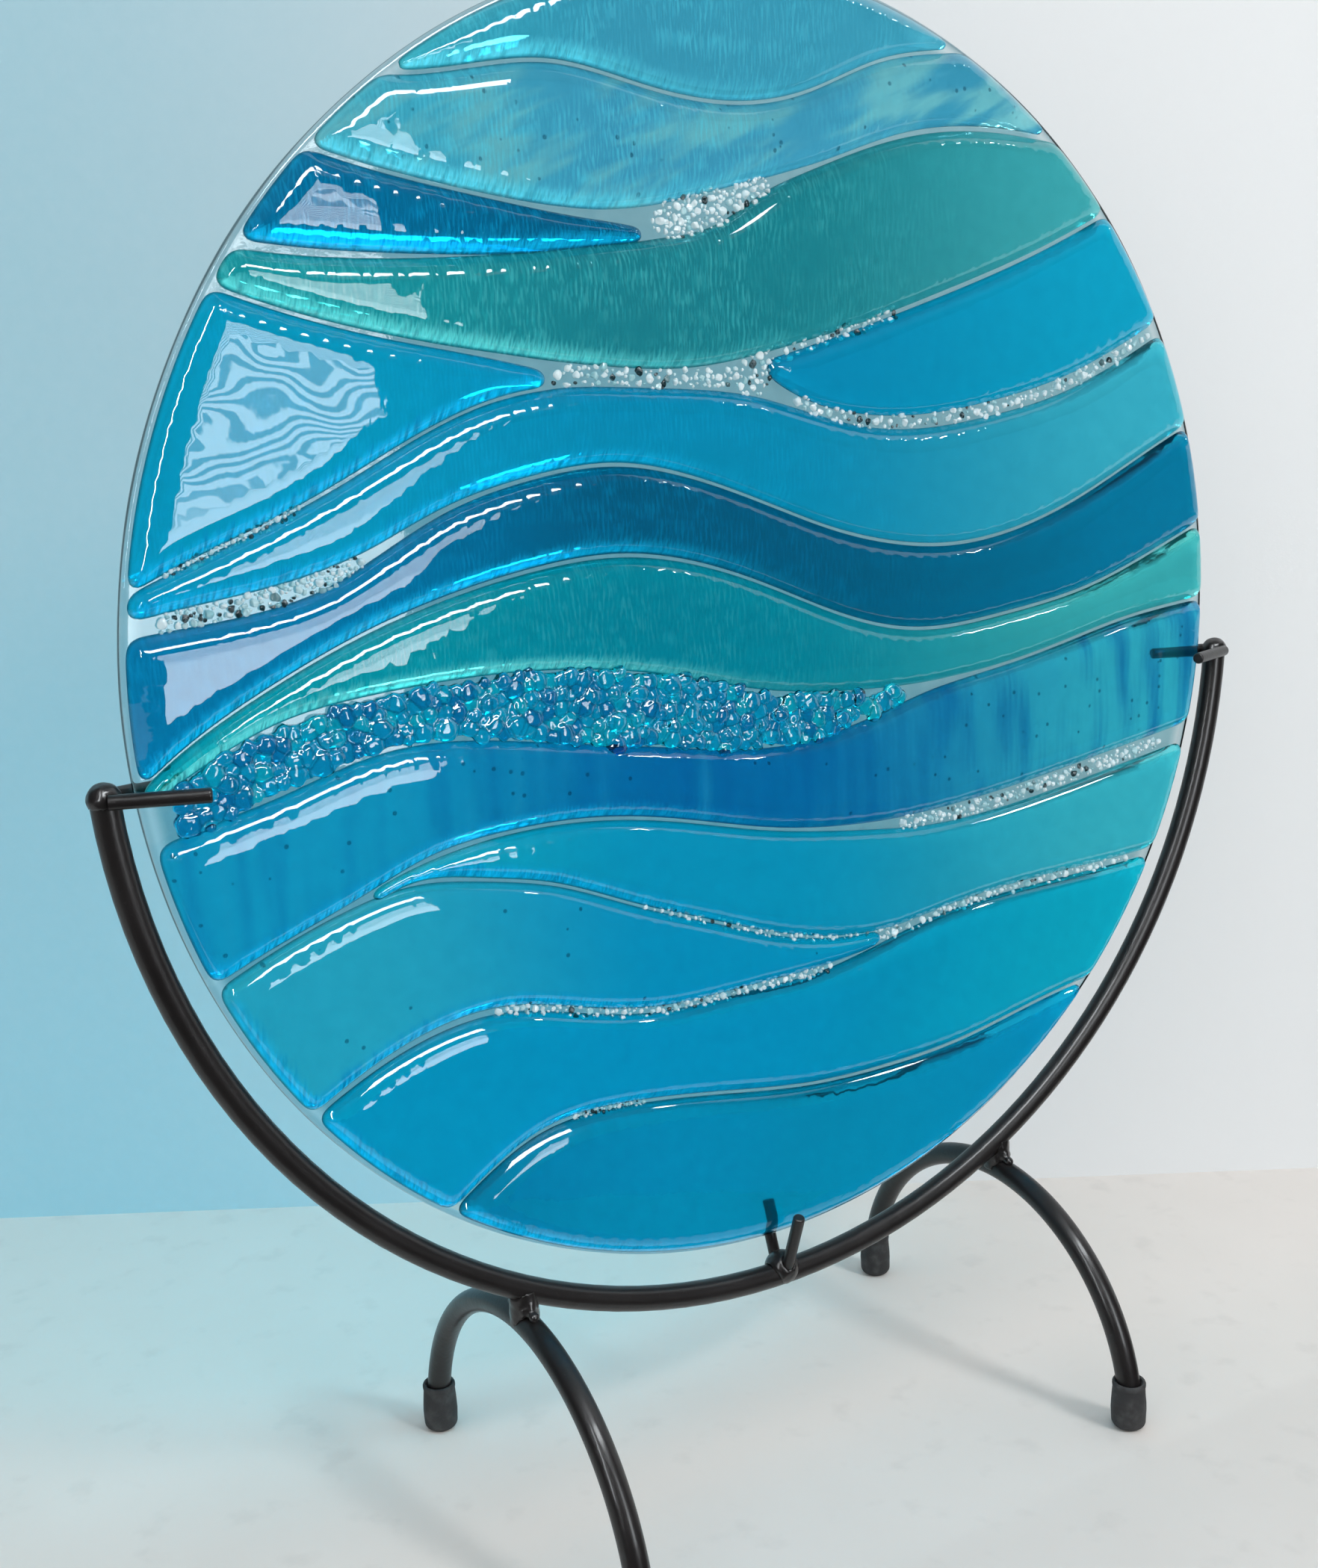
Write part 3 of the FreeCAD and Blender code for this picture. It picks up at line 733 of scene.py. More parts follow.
def filling(loop):
    """Points inside the loop: rings that follow the edge, then a grid."""
    normals = outward(loop)
    kept = []
    for depth in RINGS:
        ring = loop - normals * depth * MM
        ring = ring[:: 1 if depth < SPARSE_FROM else 2]
        gaps, _ = edge_distance(ring, loop)
        kept.append(ring[(gaps > depth * MM * RING_SHARE) & inside_loop(ring, loop)])
    low, high = loop.min(0), loop.max(0)
    xs, zs = np.meshgrid(np.arange(low[0], high[0], GRID), np.arange(low[1], high[1], GRID))
    grid = np.stack([xs.ravel(), zs.ravel()], 1)
    grid = grid[inside_loop(grid, loop)]
    gaps, _ = edge_distance(grid, loop)
    kept.append(grid[gaps > (RINGS[-1] + GRID_CLEAR) * MM])
    return np.vstack(kept)


def evened_heights(heights, triangles, gaps):
    """Heights averaged with their neighbours' away from the edge, so that no tip has a crest."""
    pairs = np.vstack([triangles[:, [0, 1]], triangles[:, [1, 2]], triangles[:, [2, 0]]])
    pairs = np.vstack([pairs, pairs[:, ::-1]])
    count = np.bincount(pairs[:, 0], minlength=len(heights))
    share = 0.5 * np.clip((gaps / MM - EVEN_FROM) / EVEN_OVER, 0, 1)
    for _ in range(EVEN_PASSES):
        total = np.bincount(pairs[:, 0], heights[pairs[:, 1]], minlength=len(heights))
        heights = heights + (total / np.maximum(count, 1) - heights) * share
    return heights


def pillow(name, loop, back, thick, seed):
    """A slumped sheet as a closed mesh, with its edge distances stored for the finish."""
    flat = np.vstack([loop, filling(loop)])
    made = delaunay_2d_cdt([Vector(p) for p in flat], [], [list(range(len(loop)))], 1, 1e-9)
    points = np.array([tuple(p) for p in made[0]])
    triangles = np.array(made[2])
    gaps, nearest = edge_distance(points, loop)
    at_edge = np.array([min(ids, default=len(loop)) < len(loop) for ids in made[3]])
    gaps[at_edge] = 0.0
    share = np.clip(gaps / SLOPE, 0, 1)
    heights = (thick - SOFT_EDGE) * (1 - (1 - share) ** 2)
    heights = evened_heights(heights, triangles, gaps)
    offset = Vector((seed * 3.1, seed * 1.3, 0.0))
    (wide, wide_height), (small, small_height) = WIDE_SWELL, SMALL_SWELL
    for i, (x, z) in enumerate(points):
        spot = Vector((x, z, 0)) / MM
        swell = noise.noise(spot / wide + offset) * wide_height
        swell += noise.noise(spot / small - offset) * small_height
        heights[i] += (swell - SINK) * MM * min(max(gaps[i] / MM - SWELLS_FROM, 0) / SWELLS_OVER, 1)
    heights = np.maximum(heights, 0) + SOFT_EDGE
    facing = outward(loop)[nearest]
    return closed_strip(name, points, triangles, heights, back - LIFT_OFF_BASE, gaps, facing)


def closed_strip(name, points, triangles, heights, back, gaps, facing):
    """Front, thin side wall and flat back, joined into one solid."""
    count = len(points)
    front = np.column_stack([points[:, 0], back - heights, points[:, 1]])
    rear = np.column_stack([points[:, 0], np.full(count, back), points[:, 1]])
    a, b, c = triangles.T
    spin = np.cross(points[b] - points[a], points[c] - points[a])
    toward = np.where((spin > 0)[:, None], triangles, triangles[:, ::-1])
    pairs = np.vstack([toward[:, [0, 1]], toward[:, [1, 2]], toward[:, [2, 0]]])
    _, first, uses = np.unique(np.sort(pairs, 1), axis=0, return_index=True, return_counts=True)
    border = pairs[first[uses == 1]]
    sides = np.column_stack([border[:, 1], border[:, 0], border[:, 0] + count, border[:, 1] + count])
    faces = toward.tolist() + (toward[:, ::-1] + count).tolist() + sides.tolist()
    mesh = bpy.data.meshes.new(name)
    mesh.from_pydata(np.vstack([front, rear]).tolist(), [], faces)
    smooth = np.zeros(len(faces), bool)
    smooth[: len(toward)] = True
    mesh.polygons.foreach_set("use_smooth", smooth)
    store(mesh, "rim", np.tile(gaps / MM, 2))
    store(mesh, "front", np.repeat([1.0, 0.0], count))
    store(mesh, "under", np.tile(np.clip(-facing[:, 1], 0, 1), 2))
    return mesh


def store(mesh, name, values):
    """Writes one number for each point of the mesh, for a finish to read."""
    layer = mesh.attributes.new(name, "FLOAT", "POINT")
    layer.data.foreach_set("value", np.asarray(values, np.float32))


THICK = 3.6 * MM
pillows = {
    node: pillow(node, spread_outlines[node], read[node][1], THICK, seed)
    for seed, node in enumerate(STRIP_NODES)
}
for node, mesh in pillows.items():
    print(node, len(mesh.vertices), "points")

# %% [markdown]
# The glass itself is one shader that lets light through and bends it. Its tint is never
# quite even: the sheet was poured and rolled, and from left to right the tint also changes,
# partly as painted light for the light behind the disc. Rolled glass has a fine drawn texture
# and seeds, which are tiny bubbles. Where light would catch the texture, at the left, bright
# upright dashes are painted in as painted highlights. Along the lower edges at the left the
# thin rounded glass gathers light into a bright toothed fringe, and that fringe is painted
# light: its tint is painted paler. Right at the edge a painted shade makes the glass darker,
# where one looks along the joint. A renderer would need very many samples to gather that
# light, so the painted fringe and dashes also glow faintly of themselves. A little body colour
# (a clearness just under 1) shows where one looks into the glass from the side, where perfectly
# clear glass would trap the light and turn black.

# %% Glass finishes
CAUGHT_LIGHT = 0.22
CLEARNESS = 0.96
LIGHTS = LEFT_LIGHT, LIGHT_BEHIND, LIGHT_BEHIND
LEFT_TO_MIDDLE, MIDDLE_TO_RIGHT = (-0.11, -0.03), (0.0, 0.12)
SEED_SCALE = 260
SEED_TINT, EDGE_SHADE_TINT, NO_LIGHT = (0.0, 0.05, 0.12), (0.02, 0.16, 0.20), (0.0, 0.0, 0.0)


def strip_glass(name, shades, glow, ripple_glints=0.0, wisps=None, seeds=0.0, bands=None):
    """Tinted fused glass with painted light and shade. shades are its looks at the left, the middle
    and the right, glow is the colour of the painted light that it gathers, and the rest is how much
    it has of each marking."""
    finish = Finish(name)
    across = finish.node("SeparateXYZ", None, {0: finish.place()}, output="X")
    flat = finish.stretched((1, 0, 1))
    # The change from left to right is partly the sheet's own tint and partly painted light, for the
    # light behind the disc.
    left, middle, right = (glass_tint(*shade, light=light) for shade, light in zip(shades, LIGHTS))
    tint = finish.colour(finish.ramp(across, *LEFT_TO_MIDDLE), left, middle)
    tint = finish.colour(finish.ramp(across, *MIDDLE_TO_RIGHT), tint, right)
    if bands:
        drawn = finish.clouds(0.0055, 4, finish.stretched((1, 0, 0.1)))
        weaker_at_left = finish.ramp(across, -0.08, 0.0) * 0.6 + 0.4
        for colour, low, high, share in bands:
            streak = finish.ramp(drawn, low, high) * weaker_at_left * share
            tint = finish.colour(streak, tint, glass_tint(*colour))
    if wisps:
        drift = finish.clouds(0.006, 5, finish.turned(25, (0.22, 0, 1.0)))
        tint = finish.colour(finish.ramp(drift, 0.45, 0.62) * 0.8, tint, glass_tint(*wisps))
    if seeds:
        cell = {"Vector": flat, "Scale": SEED_SCALE}
        spot = finish.node("TexVoronoi", None, cell, output="Distance")
        chosen = finish.node("TexVoronoi", None, cell, output="Color")
        pick = finish.node("SeparateColor", None, {0: chosen}, output="Red")
        dark = finish.ramp(spot, 0.16, 0.10) * finish.ramp(pick, 1 - seeds, 1 - seeds + 0.02)
        tint = finish.colour(dark * finish.painted("front") * 0.75, tint, SEED_TINT)
    edge = finish.painted("rim")
    # Painted light: a bright toothed fringe along the lower edges at the left, painted paler.
    teeth = finish.clouds(0.0008, 2, finish.stretched((1, 0, 0.12)))
    fringe = finish.ramp(edge, 0.3, 0.8) * finish.ramp(edge + teeth * 7, 7.6, 5.4)
    fringe = fringe * finish.ramp(finish.painted("under"), 0.25, 0.6) * finish.ramp(across, 0.03, -0.09)
    # Painted highlights: bright upright dashes where light would catch the drawn texture, at the left.
    dash = finish.clouds(0.0007, 1, finish.stretched((1, 0, 0.17)))
    patch = finish.ramp(finish.clouds(0.02, 2, flat), 0.3, 0.55) * finish.ramp(across, 0.09, -0.05)
    painted_dashes = finish.ramp(dash, 0.5, 0.62) * patch * ripple_glints
    tint = finish.colour(painted_dashes, tint, glow)
    tint = finish.colour(fringe, tint, glow)
    # Painted shade: the glass is painted darker right at the edge, more at the left.
    edge_shade = finish.ramp(edge, 0.7, 0.15) * (finish.ramp(across, 0.06, -0.06) * 0.45 + 0.15)
    tint = finish.colour(edge_shade, tint, EDGE_SHADE_TINT)
    # Painted glow: the fringe and the dashes give off a faint light of their own.
    caught = finish.colour(fringe * finish.ramp(teeth, 0.35, 0.6) + painted_dashes * 0.45, NO_LIGHT, glow)
    skin = finish.clouds(0.0025, 2, finish.stretched((1, 1, 0.3)))
    return finish.coat(
        {
            "Base Color": tint,
            "Roughness": finish.clouds(0.02, 1) * 0.03,
            "Transmission Weight": CLEARNESS,
            "IOR": 1.5,
            "Normal": finish.bump(skin, 0.000006),
            "Emission Color": caught,
            "Emission Strength": CAUGHT_LIGHT,
        }
    )


print("strip glass is ready, clear to", CLEARNESS)

# %% [markdown]
# Each sheet has its own tint, as three screen colours: its looks at the left, in the middle and
# at the right of the disc. The change from left to right is partly the sheet's own and partly
# painted light, for the light behind the disc. They began as colours measured at spots of the
# photograph, were then tuned in test renders, and many still lie within a few steps of the
# measured ones. Each sheet has a painted fringe of light of its own colour too, and more or less
# of the painted highlights on its drawn texture (ripple_glints). The crest has pale wisps in it,
# and the streaky sheet has upright bands of two blues.

# %% Mix the fourteen glasses
# The colours of the painted light in each sheet's fringe and dashes.
BLUE_FRINGE, SKY_FRINGE, TEAL_FRINGE = (0.01, 0.62, 0.97), (0.20, 0.84, 0.97), (0.22, 0.88, 0.84)
SHADES = {
    "sky": [(60, 168, 200), (62, 143, 170), (62, 145, 170)],
    "crest": [(76, 162, 196), (68, 146, 176), (50, 130, 160)],
    "taper": [(3, 102, 142), (2, 93, 130), (2, 92, 128)],
    "teal": [(30, 138, 148), (31, 126, 139), (65, 155, 165)],
    "sail": [(7, 150, 195), (7, 145, 192), (7, 145, 192)],
    "azure": [(6, 137, 177), (6, 137, 177), (12, 150, 186)],
    "bright": [(4, 152, 208), (2, 144, 184), (12, 172, 222)],
    "turquoise": [(9, 142, 176), (8, 138, 174), (60, 166, 198)],
    "navy": [(3, 114, 156), (2, 94, 128), (2, 114, 152)],
    "low_teal": [(6, 140, 155), (2, 134, 152), (60, 159, 168)],
    "streaky": [(24, 145, 186), (3, 108, 160), (54, 170, 206)],
    "wedge": [(28, 176, 224), (8, 146, 180), (62, 176, 212)],
    "lens": [(54, 164, 206), (4, 143, 181), (4, 143, 181)],
    "seabed": [(5, 113, 150), (3, 137, 174), (3, 134, 178)],
}
PALE_WISPS = (120, 184, 206)
STREAKS = [((2, 100, 156), 0.54, 0.34, 0.8), ((50, 160, 206), 0.54, 0.72, 0.55)]
FRINGES = {"sky": SKY_FRINGE, "crest": SKY_FRINGE, "teal": TEAL_FRINGE, "low_teal": TEAL_FRINGE}
MARKINGS = {
    "sky": {"ripple_glints": 0.55},
    "crest": {"ripple_glints": 0.6, "wisps": PALE_WISPS, "seeds": 0.8},
    "taper": {"ripple_glints": 0.4},
    "teal": {"ripple_glints": 0.4},
    "sail": {"ripple_glints": 0.35},
    "turquoise": {"ripple_glints": 0.35},
    "navy": {"ripple_glints": 0.2},
    "low_teal": {"ripple_glints": 0.2},
    "streaky": {"seeds": 0.6, "bands": STREAKS},
    "lens": {"seeds": 0.2},
}
glasses = {}
for name, shades in SHADES.items():
    fringe = FRINGES.get(name, BLUE_FRINGE)
    glasses[name] = strip_glass(name + "_glass_finish", shades, fringe, **MARKINGS.get(name, {}))
print(len(glasses), "glass finishes are mixed")

# %% [markdown]
# Each pillow gets its glass and takes the place of its strip in the model. Beside the glass
# stands the name of a material slot, of which there are fewer than glasses.

# %% Fuse the strips
STRIPS = {
    "sky_cap": ("sky", "sky_glass"),
    "streaky_crest": ("crest", "sky_glass"),
    "deep_blue_taper": ("taper", "deep_blue_glass"),
    "upper_teal_wave": ("teal", "teal_glass"),
    "left_blue_sail": ("sail", "ocean_glass"),
    "right_blue_wave": ("azure", "azure_glass"),
    "long_turquoise_wave": ("turquoise", "turquoise_glass"),
    "navy_wave": ("navy", "deep_blue_glass"),
    "lower_teal_wave": ("low_teal", "teal_glass"),
    "streaky_blue_wave": ("streaky", "streaky_glass"),
    "pale_blue_wedge": ("wedge", "pale_glass"),
    "lens_blue_wave": ("lens", "ocean_glass"),
    "bright_blue_wave": ("bright", "azure_glass"),
    "seabed_cap": ("seabed", "ocean_glass"),
}
for node, (glass, slot) in STRIPS.items():
    show(pillows[node], node + "_pillow", glasses[glass], "glass", slot, node)
print(len(STRIPS), "strips are fused")

# %% [markdown]
# The base is a round of clear sheet. It shows in the joints between the strips and as a thin
# bright margin round them. Its tint is painted darker in the joints, as painted shade, and
# darker still towards the rim, nearly black at its very edge: a painted shade for the faint
# green and the dark that one sees looking along clear glass. The rim was ground by hand and
# fire polished, so it is round in section and not quite true.

# %% Clear base disc
BASE_SIDES = 420
RIM_ROUND = 1.2 * MM
UNEVEN_MM = 0.25


def clear_glass():
    """Clear glass with painted shade: darker in the joints, palest in the margin and nearly black at
    the very rim.
    """
    finish = Finish("clear_glass_finish")
    inward = finish.painted("rim")
    clear = finish.colour(finish.clouds(0.03, 2), (0.84, 0.92, 0.93), (0.90, 0.96, 0.97))
    # Painted shade: the joints between the strips are painted darker.
    joint_shade = finish.colour(finish.clouds(0.004, 2), (0.28, 0.54, 0.61), (0.46, 0.70, 0.75))
    tint = finish.colour(finish.ramp(inward, 2.0, 5.0), clear, joint_shade)
    # Painted shade: darker towards the rim, and nearly black at its very edge.
    tint = finish.colour(finish.ramp(inward, 2.2, 0.8) * 0.8, tint, (0.46, 0.66, 0.72))
    tint = finish.colour(finish.ramp(inward, 0.35, 0.1) * 0.95, tint, (0.03, 0.06, 0.07))
    skin = finish.clouds(0.004, 3)
    return finish.coat(
        {
            "Base Color": tint,
            "Roughness": 0.02,
            "Transmission Weight": 1.0,
            "IOR": 1.5,
            "Normal": finish.bump(skin, 0.00002),
        }
    )


def base_mesh(node):
    """The disc as rings from the middle of the front, round the rim, to the middle of the back."""
    low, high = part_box(node)
    middle, radius = (low + high) / 2, (high.x - low.x) / 2
    thick = (high.y - low.y) / 2
    flat = radius - RIM_ROUND
    quarter_turn = [math.radians(a) for a in range(0, 91, 15)]
    inner = [(share * radius, -thick) for share in (0.2, 0.4, 0.6, 0.8, 0.9, 0.96)]
    inner += [(flat - 0.4 * MM, -thick)]
    curve = [(RIM_ROUND * math.sin(a), RIM_ROUND * (1 - math.cos(a))) for a in quarter_turn]
    bend = [(flat + out, back - thick) for out, back in curve]
    front = inner + bend
    profile = front + [(r, -y) for r, y in reversed(front)]
    points = [Vector((middle.x, low.y, middle.z))]
    for r, y in profile:
        for i in range(BASE_SIDES):
            a = math.tau * i / BASE_SIDES
            uneven = (noise.noise(Vector((math.cos(a), math.sin(a), 0)) * 4) - 0.5) * UNEVEN_MM * MM
            grown = r + uneven * (r / radius) ** 8
            x, z = math.cos(a) * grown, math.sin(a) * grown
            points.append(Vector((middle.x + x, middle.y + y, middle.z + z)))
    points.append(Vector((middle.x, high.y, middle.z)))
    last, faces = len(points) - 1, []
    for i in range(BASE_SIDES):
        j = (i + 1) % BASE_SIDES
        faces.append((0, 1 + i, 1 + j))
        for ring in range(len(profile) - 1):
            a, b = 1 + ring * BASE_SIDES, 1 + (ring + 1) * BASE_SIDES
            faces.append((a + i, b + i, b + j, a + j))
        end = 1 + (len(profile) - 1) * BASE_SIDES
        faces.append((last, end + j, end + i))
    mesh = bpy.data.meshes.new(node)
    mesh.from_pydata(points, [], faces)
    mesh.shade_smooth()
    store(mesh, "rim", [(radius - math.hypot(p.x - middle.x, p.z - middle.z)) / MM for p in points])
    return mesh


clear_finish = clear_glass()
base = base_mesh("clear_base_disc")
show(base, "clear_base_round", clear_finish, "glass", "clear_glass", "clear_base_disc")
print("clear base", len(base.vertices), "points")

# %% [markdown]
# Crushed glass, called frit, fills the joints and one wide band. Grain by grain it is broken
# glass whose corners have melted round. Each grain of the model is found as a separate shell,
# and a lumpy melted pebble takes its place. Finer ones are then strewn between them: a spot is
# drawn at random and kept if it lies clear of the grains that are there.

# %% Find the grains of the model


def grains_of(node):
    """The middle and the half sizes of each separate grain of a node."""
    whole = bmesh.new()
    whole.from_mesh(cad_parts[node].data)
    bmesh.ops.remove_doubles(whole, verts=whole.verts, dist=SAME_PLACE)
    seen, found = set(), []
    for first in whole.verts:
        if first in seen:
            continue
        shell, waiting = [], [first]
        seen.add(first)
        while waiting:
            v = waiting.pop()
            shell.append(tuple(v.co))
            for e in v.link_edges:
                w = e.other_vert(v)
                if w not in seen:
                    seen.add(w)
                    waiting.append(w)
        low, high = np.min(shell, 0), np.max(shell, 0)
        found.append(((low + high) / 2, (high - low) / 2))
    whole.free()
    return found


def band_loop(grains, reach, step):
    """The outline of the band that the grains lie in."""
    middles = np.array([g[0] for g in grains])
    radii = np.array([g[1][0] for g in grains])
    first, last = middles[:, 0].min() - radii.min(), middles[:, 0].max() + radii.min()
    upper, lower = [], []
    for x in np.arange(first, last + step / 2, step):
        near = np.abs(middles[:, 0] - x) < reach
        if near.any():
            upper.append((x, (middles[near, 2] + radii[near]).max()))
            lower.append((x, (middles[near, 2] - radii[near]).min()))
    return np.array(lower + upper[::-1])


def ball(fineness):
    """The points and faces of a round ball, one unit in radius."""
    made = bmesh.new()
    bmesh.ops.create_icosphere(made, subdivisions=fineness, radius=1.0)
    points = np.array([tuple(v.co) for v in made.verts])
    faces = np.array([[v.index for v in f.verts] for f in made.faces])
    made.free()
    return points, faces


print("the wide band has", len(grains_of("blue_chunk_frit")), "grains")

# %% [markdown]
# A melted grain starts as a round ball. Some sides are pressed flat, where the glass broke, a few
# long waves make it lumpy, and the side that lies on the base is cut off. All draws come from a
# seeded generator, so the same grains are made each time. A small grain gets a coarser ball.

# %% Melt a grain and strew more
SMALL, LARGE = 2, 3
BALLS = {fineness: ball(fineness) for fineness in (SMALL, LARGE)}
LARGE_FROM = 0.55 * MM
FLATS, FLATNESS, FLAT_REACH = 7, 0.95, (0.55, 0.9)
WAVES, WAVE_COUNT, WAVE_HEIGHT = 4, 2.4, 0.05
SEAT, SEAT_DROP = 0.75, 0.25
TALL, BROAD = (0.7, 1.0), (0.8, 1.25)


def pebble(middle, half, draw, fineness, flats):
    """A melted grain: a ball with soft flats and lumps, resting on the base."""
    points, _ = BALLS[fineness]
    points = points.copy()
    for _ in range(flats):
        way = draw.normal(size=3)
        way /= np.linalg.norm(way)
        over = np.maximum(points @ way - draw.uniform(*FLAT_REACH), 0)
        points -= np.outer(over, way) * FLATNESS
    for _ in range(WAVES):
        wave = draw.normal(size=3) * WAVE_COUNT
        points *= 1 + WAVE_HEIGHT * np.sin(points @ wave + draw.uniform(0, math.tau))[:, None]
    points[:, 1] = np.clip(points[:, 1], -1.0, SEAT)
    return points * half + middle + (0, half[1] * SEAT_DROP, 0)


def strewn(loop, back, there, sizes, tries, closeness, draw):
    """More grains inside the loop: (middle, half sizes), none nearer than closeness allows."""
    middles = [np.array((g[0][0], g[0][2])) for g in there]
    radii = [g[1][0] for g in there]
    low, high = loop.min(0), loop.max(0)
    spots = draw.uniform(low, high, (tries, 2))
    spots = spots[inside_loop(spots, loop)]
    found = []
    for spot in spots:
        radius = draw.uniform(*sizes) * MM
        apart = np.hypot(*(np.array(middles) - spot).T)
        if np.all(apart > (np.array(radii) + radius) * closeness):
            tall = radius * draw.uniform(*TALL)
            half = np.array((radius * draw.uniform(*BROAD), tall, radius * draw.uniform(*BROAD)))
            found.append((np.array((spot[0], back - tall, spot[1])), half))
            middles.append(spot)
            radii.append(radius)
    return found


def heap(name, grains, draw, flats):
    """All grains as one mesh, each with a tone of its own stored on its points."""
    points, faces, tones, count = [], [], [], 0
    for middle, half in grains:
        fineness = LARGE if half[0] > LARGE_FROM else SMALL
        made = pebble(middle, half, draw, fineness, flats)
        points.append(made)
        faces.append(BALLS[fineness][1] + count)
        tones.append(np.full(len(made), draw.random()))
        count += len(made)
    mesh = bpy.data.meshes.new(name)
    mesh.from_pydata(np.vstack(points).tolist(), [], np.vstack(faces).tolist())
    mesh.shade_smooth()
    store(mesh, "tone", np.concatenate(tones))
    return mesh


print("a small and a large grain have", [len(points) for points, _ in BALLS.values()], "points")

# %% [markdown]
# Melted grains let the light through, each in its own tone: most are as clear as snow or mist,
# and among them there are bits of ink. A grain is cloudy where its skin has not quite healed,
# so only part of its light goes through, and it shows pale against the joint.

# %% Frit finishes


def frit_glass(name, stops, clear_share, roughness):
    """Glass whose tint steps with the stored tone: stops are (tone, colour)."""
    finish = Finish(name)
    tone = finish.painted("tone")
    tint = stops[0][1]
    for (low, _), (high, colour) in zip(stops, stops[1:]):
        tint = finish.colour(finish.ramp(tone, low, high), tint, colour)
    tint = finish.colour(finish.ramp(finish.clouds(0.0012, 3), 0.45, 0.7) * 0.3, tint, (0.9, 0.97, 1.0))
    skin = finish.clouds(0.0006, 2)
    return finish.coat(
        {
            "Base Color": tint,
            "Roughness": roughness,
            "Transmission Weight": clear_share,
            "IOR": 1.5,
            "Normal": finish.bump(skin, 0.00006),
        }
    )


INK, MIST, SNOW = (0.01, 0.04, 0.05), (0.42, 0.72, 0.76), (0.93, 0.98, 0.99)
clear_frit = frit_glass("clear_frit_finish", [(0.07, INK), (0.11, MIST), (0.45, SNOW)], 0.45, 0.03)
dark_frit = frit_glass("dark_frit_finish", [(0.16, INK), (0.24, MIST), (0.8, SNOW)], 0.5, 0.04)
print("two frit finishes are mixed")

# %% [markdown]
# The wide band is different. Its lumps lay so close that they ran together into one crust:
# round tops, with creases where two of them meet. So the lumps and a thin bed under them are
# melted into one skin, and each point of it remembers which lump is the nearest and how near
# the next one is. The finish gives each lump its tone, darkens the creases with painted shade,
# and has a clear coat, so that the many small curves catch the window and the lamps as sharp
# glints.

# %% The crust of blue lumps
CRUST_CELL, CRUST_SMOOTHING = 0.4 * MM, 2
BED_THICK = 1.3 * MM
BAND_REACH, BAND_STEP, BAND_EVEN, BAND_PASSES = 3.5 * MM, 1.5 * MM, 1.0 * MM, 8
LUMP_RADII, LUMP_TRIES, LUMPS_APART = (1.2, 2.3), 5000, 0.7
LUMP_SPREAD = (1.2, 1.0, 1.2)


def crust(node, seed):
    """The wide band of the model as one skin of fused lumps."""
    draw = np.random.default_rng(seed)
    grains = grains_of(node)
    back = read["streaky_blue_wave"][1]
    outline = evened(band_loop(grains, BAND_REACH, BAND_STEP), BAND_EVEN, BAND_PASSES)
    more = strewn(outline, back, grains, LUMP_RADII, LUMP_TRIES, LUMPS_APART, draw)
    lumps = [(middle, half * LUMP_SPREAD) for middle, half in grains] + more
    bed = pillow("bed", outline, back, BED_THICK, seed)
    whole = joined_mesh([bed, heap("lumps", lumps, draw, flats=0)])
    skin = melted(whole, node + "_crust", LUMP_HEIGHT, seed, CRUST_CELL, CRUST_SMOOTHING)
    tree = kdtree.KDTree(len(lumps))
    for i, (middle, _) in enumerate(lumps):
        tree.insert(middle, i)
    tree.balance()
    tones = draw.random(len(lumps))
    tone, crease = [], []
    for v in skin.vertices:
        (_, first, near), (_, _, next_near) = tree.find_n(v.co, 2)
        tone.append(tones[first])
        crease.append((next_near - near) / MM)
    store(skin, "tone", tone)
    store(skin, "crease", crease)
    print(node, len(grains), "lumps and", len(more), "more,", len(skin.vertices), "points")
    return skin


def crust_glass():
    """Deep blue glass in tones, with painted shade in the creases, and a smooth skin that glints."""
    finish = Finish("blue_crust_finish")
    tone = finish.painted("tone")
    tint = finish.colour(finish.ramp(tone, 0.1, 0.6), glass_tint(1, 112, 160), glass_tint(2, 156, 208))
    tint = finish.colour(finish.ramp(tone, 0.6, 1.0), tint, glass_tint(6, 184, 234))
    mottle = finish.clouds(0.0022, 3)
    tint = finish.colour(finish.ramp(mottle, 0.48, 0.72) * 0.4, tint, glass_tint(6, 160, 220))
    # Painted shade: the creases between the lumps are painted darker.
    crease = finish.ramp(finish.painted("crease"), 0.6, 0.05) * 0.6
    tint = finish.colour(crease, tint, glass_tint(1, 62, 92))
    skin = finish.clouds(0.0007, 2)
    return finish.coat(
        {
            "Base Color": tint,
            "Roughness": 0.0,
            "Transmission Weight": 1.0,
            "IOR": 1.5,
            "Coat Weight": 0.45,
            "Coat Roughness": 0.0,
            "Normal": finish.bump(skin, 0.00001),
        }
    )


wide_band = crust("blue_chunk_frit", 3)
show(wide_band, "blue_chunk_frit_crust", crust_glass(), "glass", "blue_frit", "blue_chunk_frit")

# %% [markdown]
# In the other joints the grains are finer and lie apart. Each joint has its own kind of frit,
# its own range of sizes, and a band that is a little wider than the grains of the model.

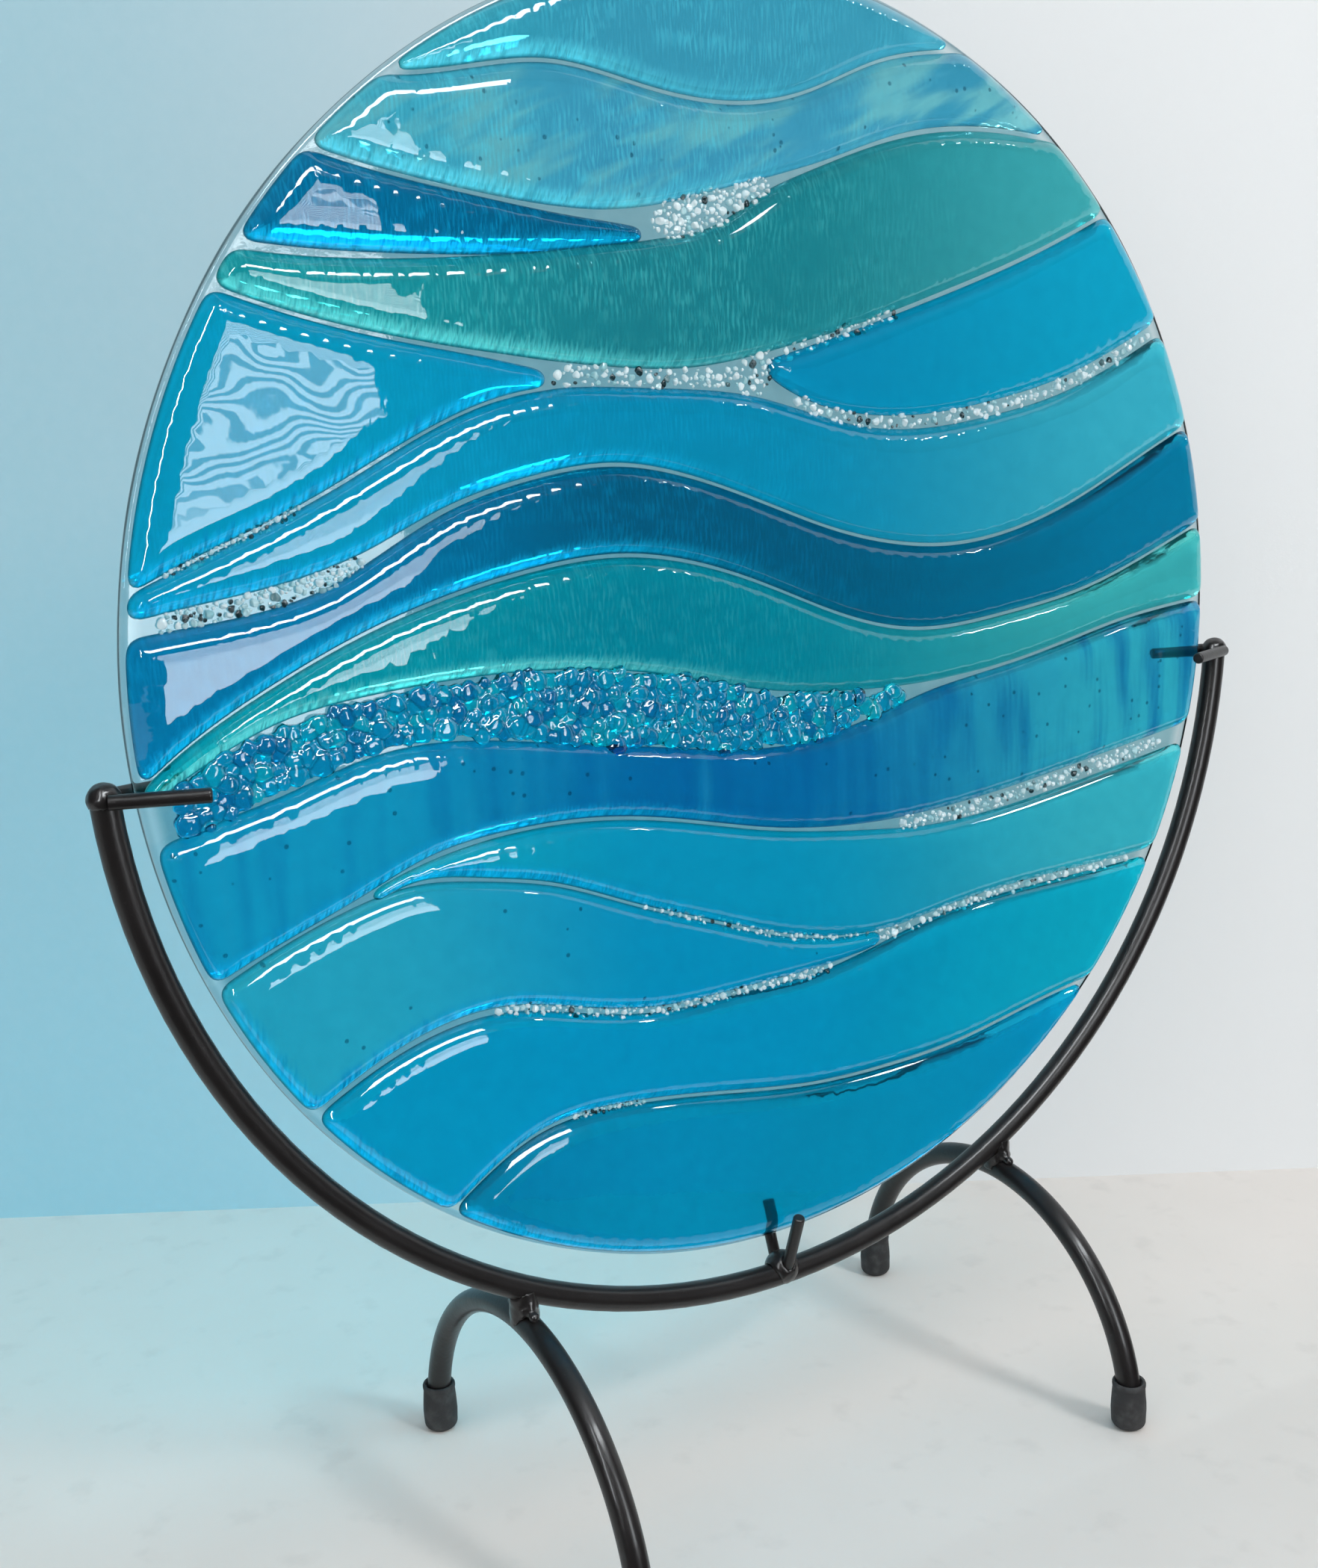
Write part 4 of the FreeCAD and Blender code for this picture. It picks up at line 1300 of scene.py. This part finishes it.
# %% Strew the seams
SEAM_REACH, SEAM_STEP, SEAM_PASSES = 3.0 * MM, 0.8 * MM, 3
GRAIN_TRIES, GRAINS_APART = 2600, 0.85
GRAIN_SHRINK = (0.85, 1.0, 0.85)
FRITS = {  # finish, slot, smallest and largest radius in mm, and how much wider the band is in mm
    "crest_clear_frit": (clear_frit, "clear_frit", (0.35, 0.95), 1.2),
    "teal_seam_clear_frit": (clear_frit, "clear_frit", (0.35, 0.95), 0.9),
    "right_seam_clear_frit": (clear_frit, "clear_frit", (0.3, 0.85), 0.5),
    "sail_seam_dark_chips": (dark_frit, "dark_frit", (0.25, 0.6), 0.3),
    "left_wedge_dark_chips": (dark_frit, "dark_frit", (0.3, 0.8), 0.6),
    "wedge_seam_clear_frit": (clear_frit, "clear_frit", (0.3, 0.8), 0.5),
    "lens_top_clear_frit": (clear_frit, "clear_frit", (0.3, 0.75), 0.4),
    "lens_bottom_clear_frit": (clear_frit, "clear_frit", (0.3, 0.8), 0.5),
    "seabed_dark_chips": (dark_frit, "dark_frit", (0.25, 0.6), 0.3),
}


def seam_mesh(node, seed, sizes, wider):
    """The grains of a seam and finer ones strewn among them."""
    draw = np.random.default_rng(seed)
    grains = grains_of(node)
    low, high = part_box(node)
    around = evened(band_loop(grains, SEAM_REACH, SEAM_STEP), SEAM_STEP, SEAM_PASSES)
    around = around + outward(around) * wider * MM
    more = strewn(around, high.y, grains, sizes, GRAIN_TRIES, GRAINS_APART, draw)
    print(node, len(grains), "grains and", len(more), "more")
    chips = [(middle, half * GRAIN_SHRINK) for middle, half in grains]
    return heap(node, chips + more, draw, FLATS)


for seed, (node, (finish, slot, sizes, wider)) in enumerate(FRITS.items()):
    mesh = seam_mesh(node, seed + 40, sizes, wider)
    show(mesh, node + "_grains", finish, "glass", slot, node)

# %% Sizes and finish
dressed_low, dressed_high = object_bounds()
sizes = {
    "model": [list(model_low), list(model_high)],
    "dressed": [list(dressed_low), list(dressed_high)],
}
grown = [round((d - m) / MM, 2) for d, m in zip(dressed_high - dressed_low, model_high - model_low)]
print("the dressed box differs by", grown, "mm")
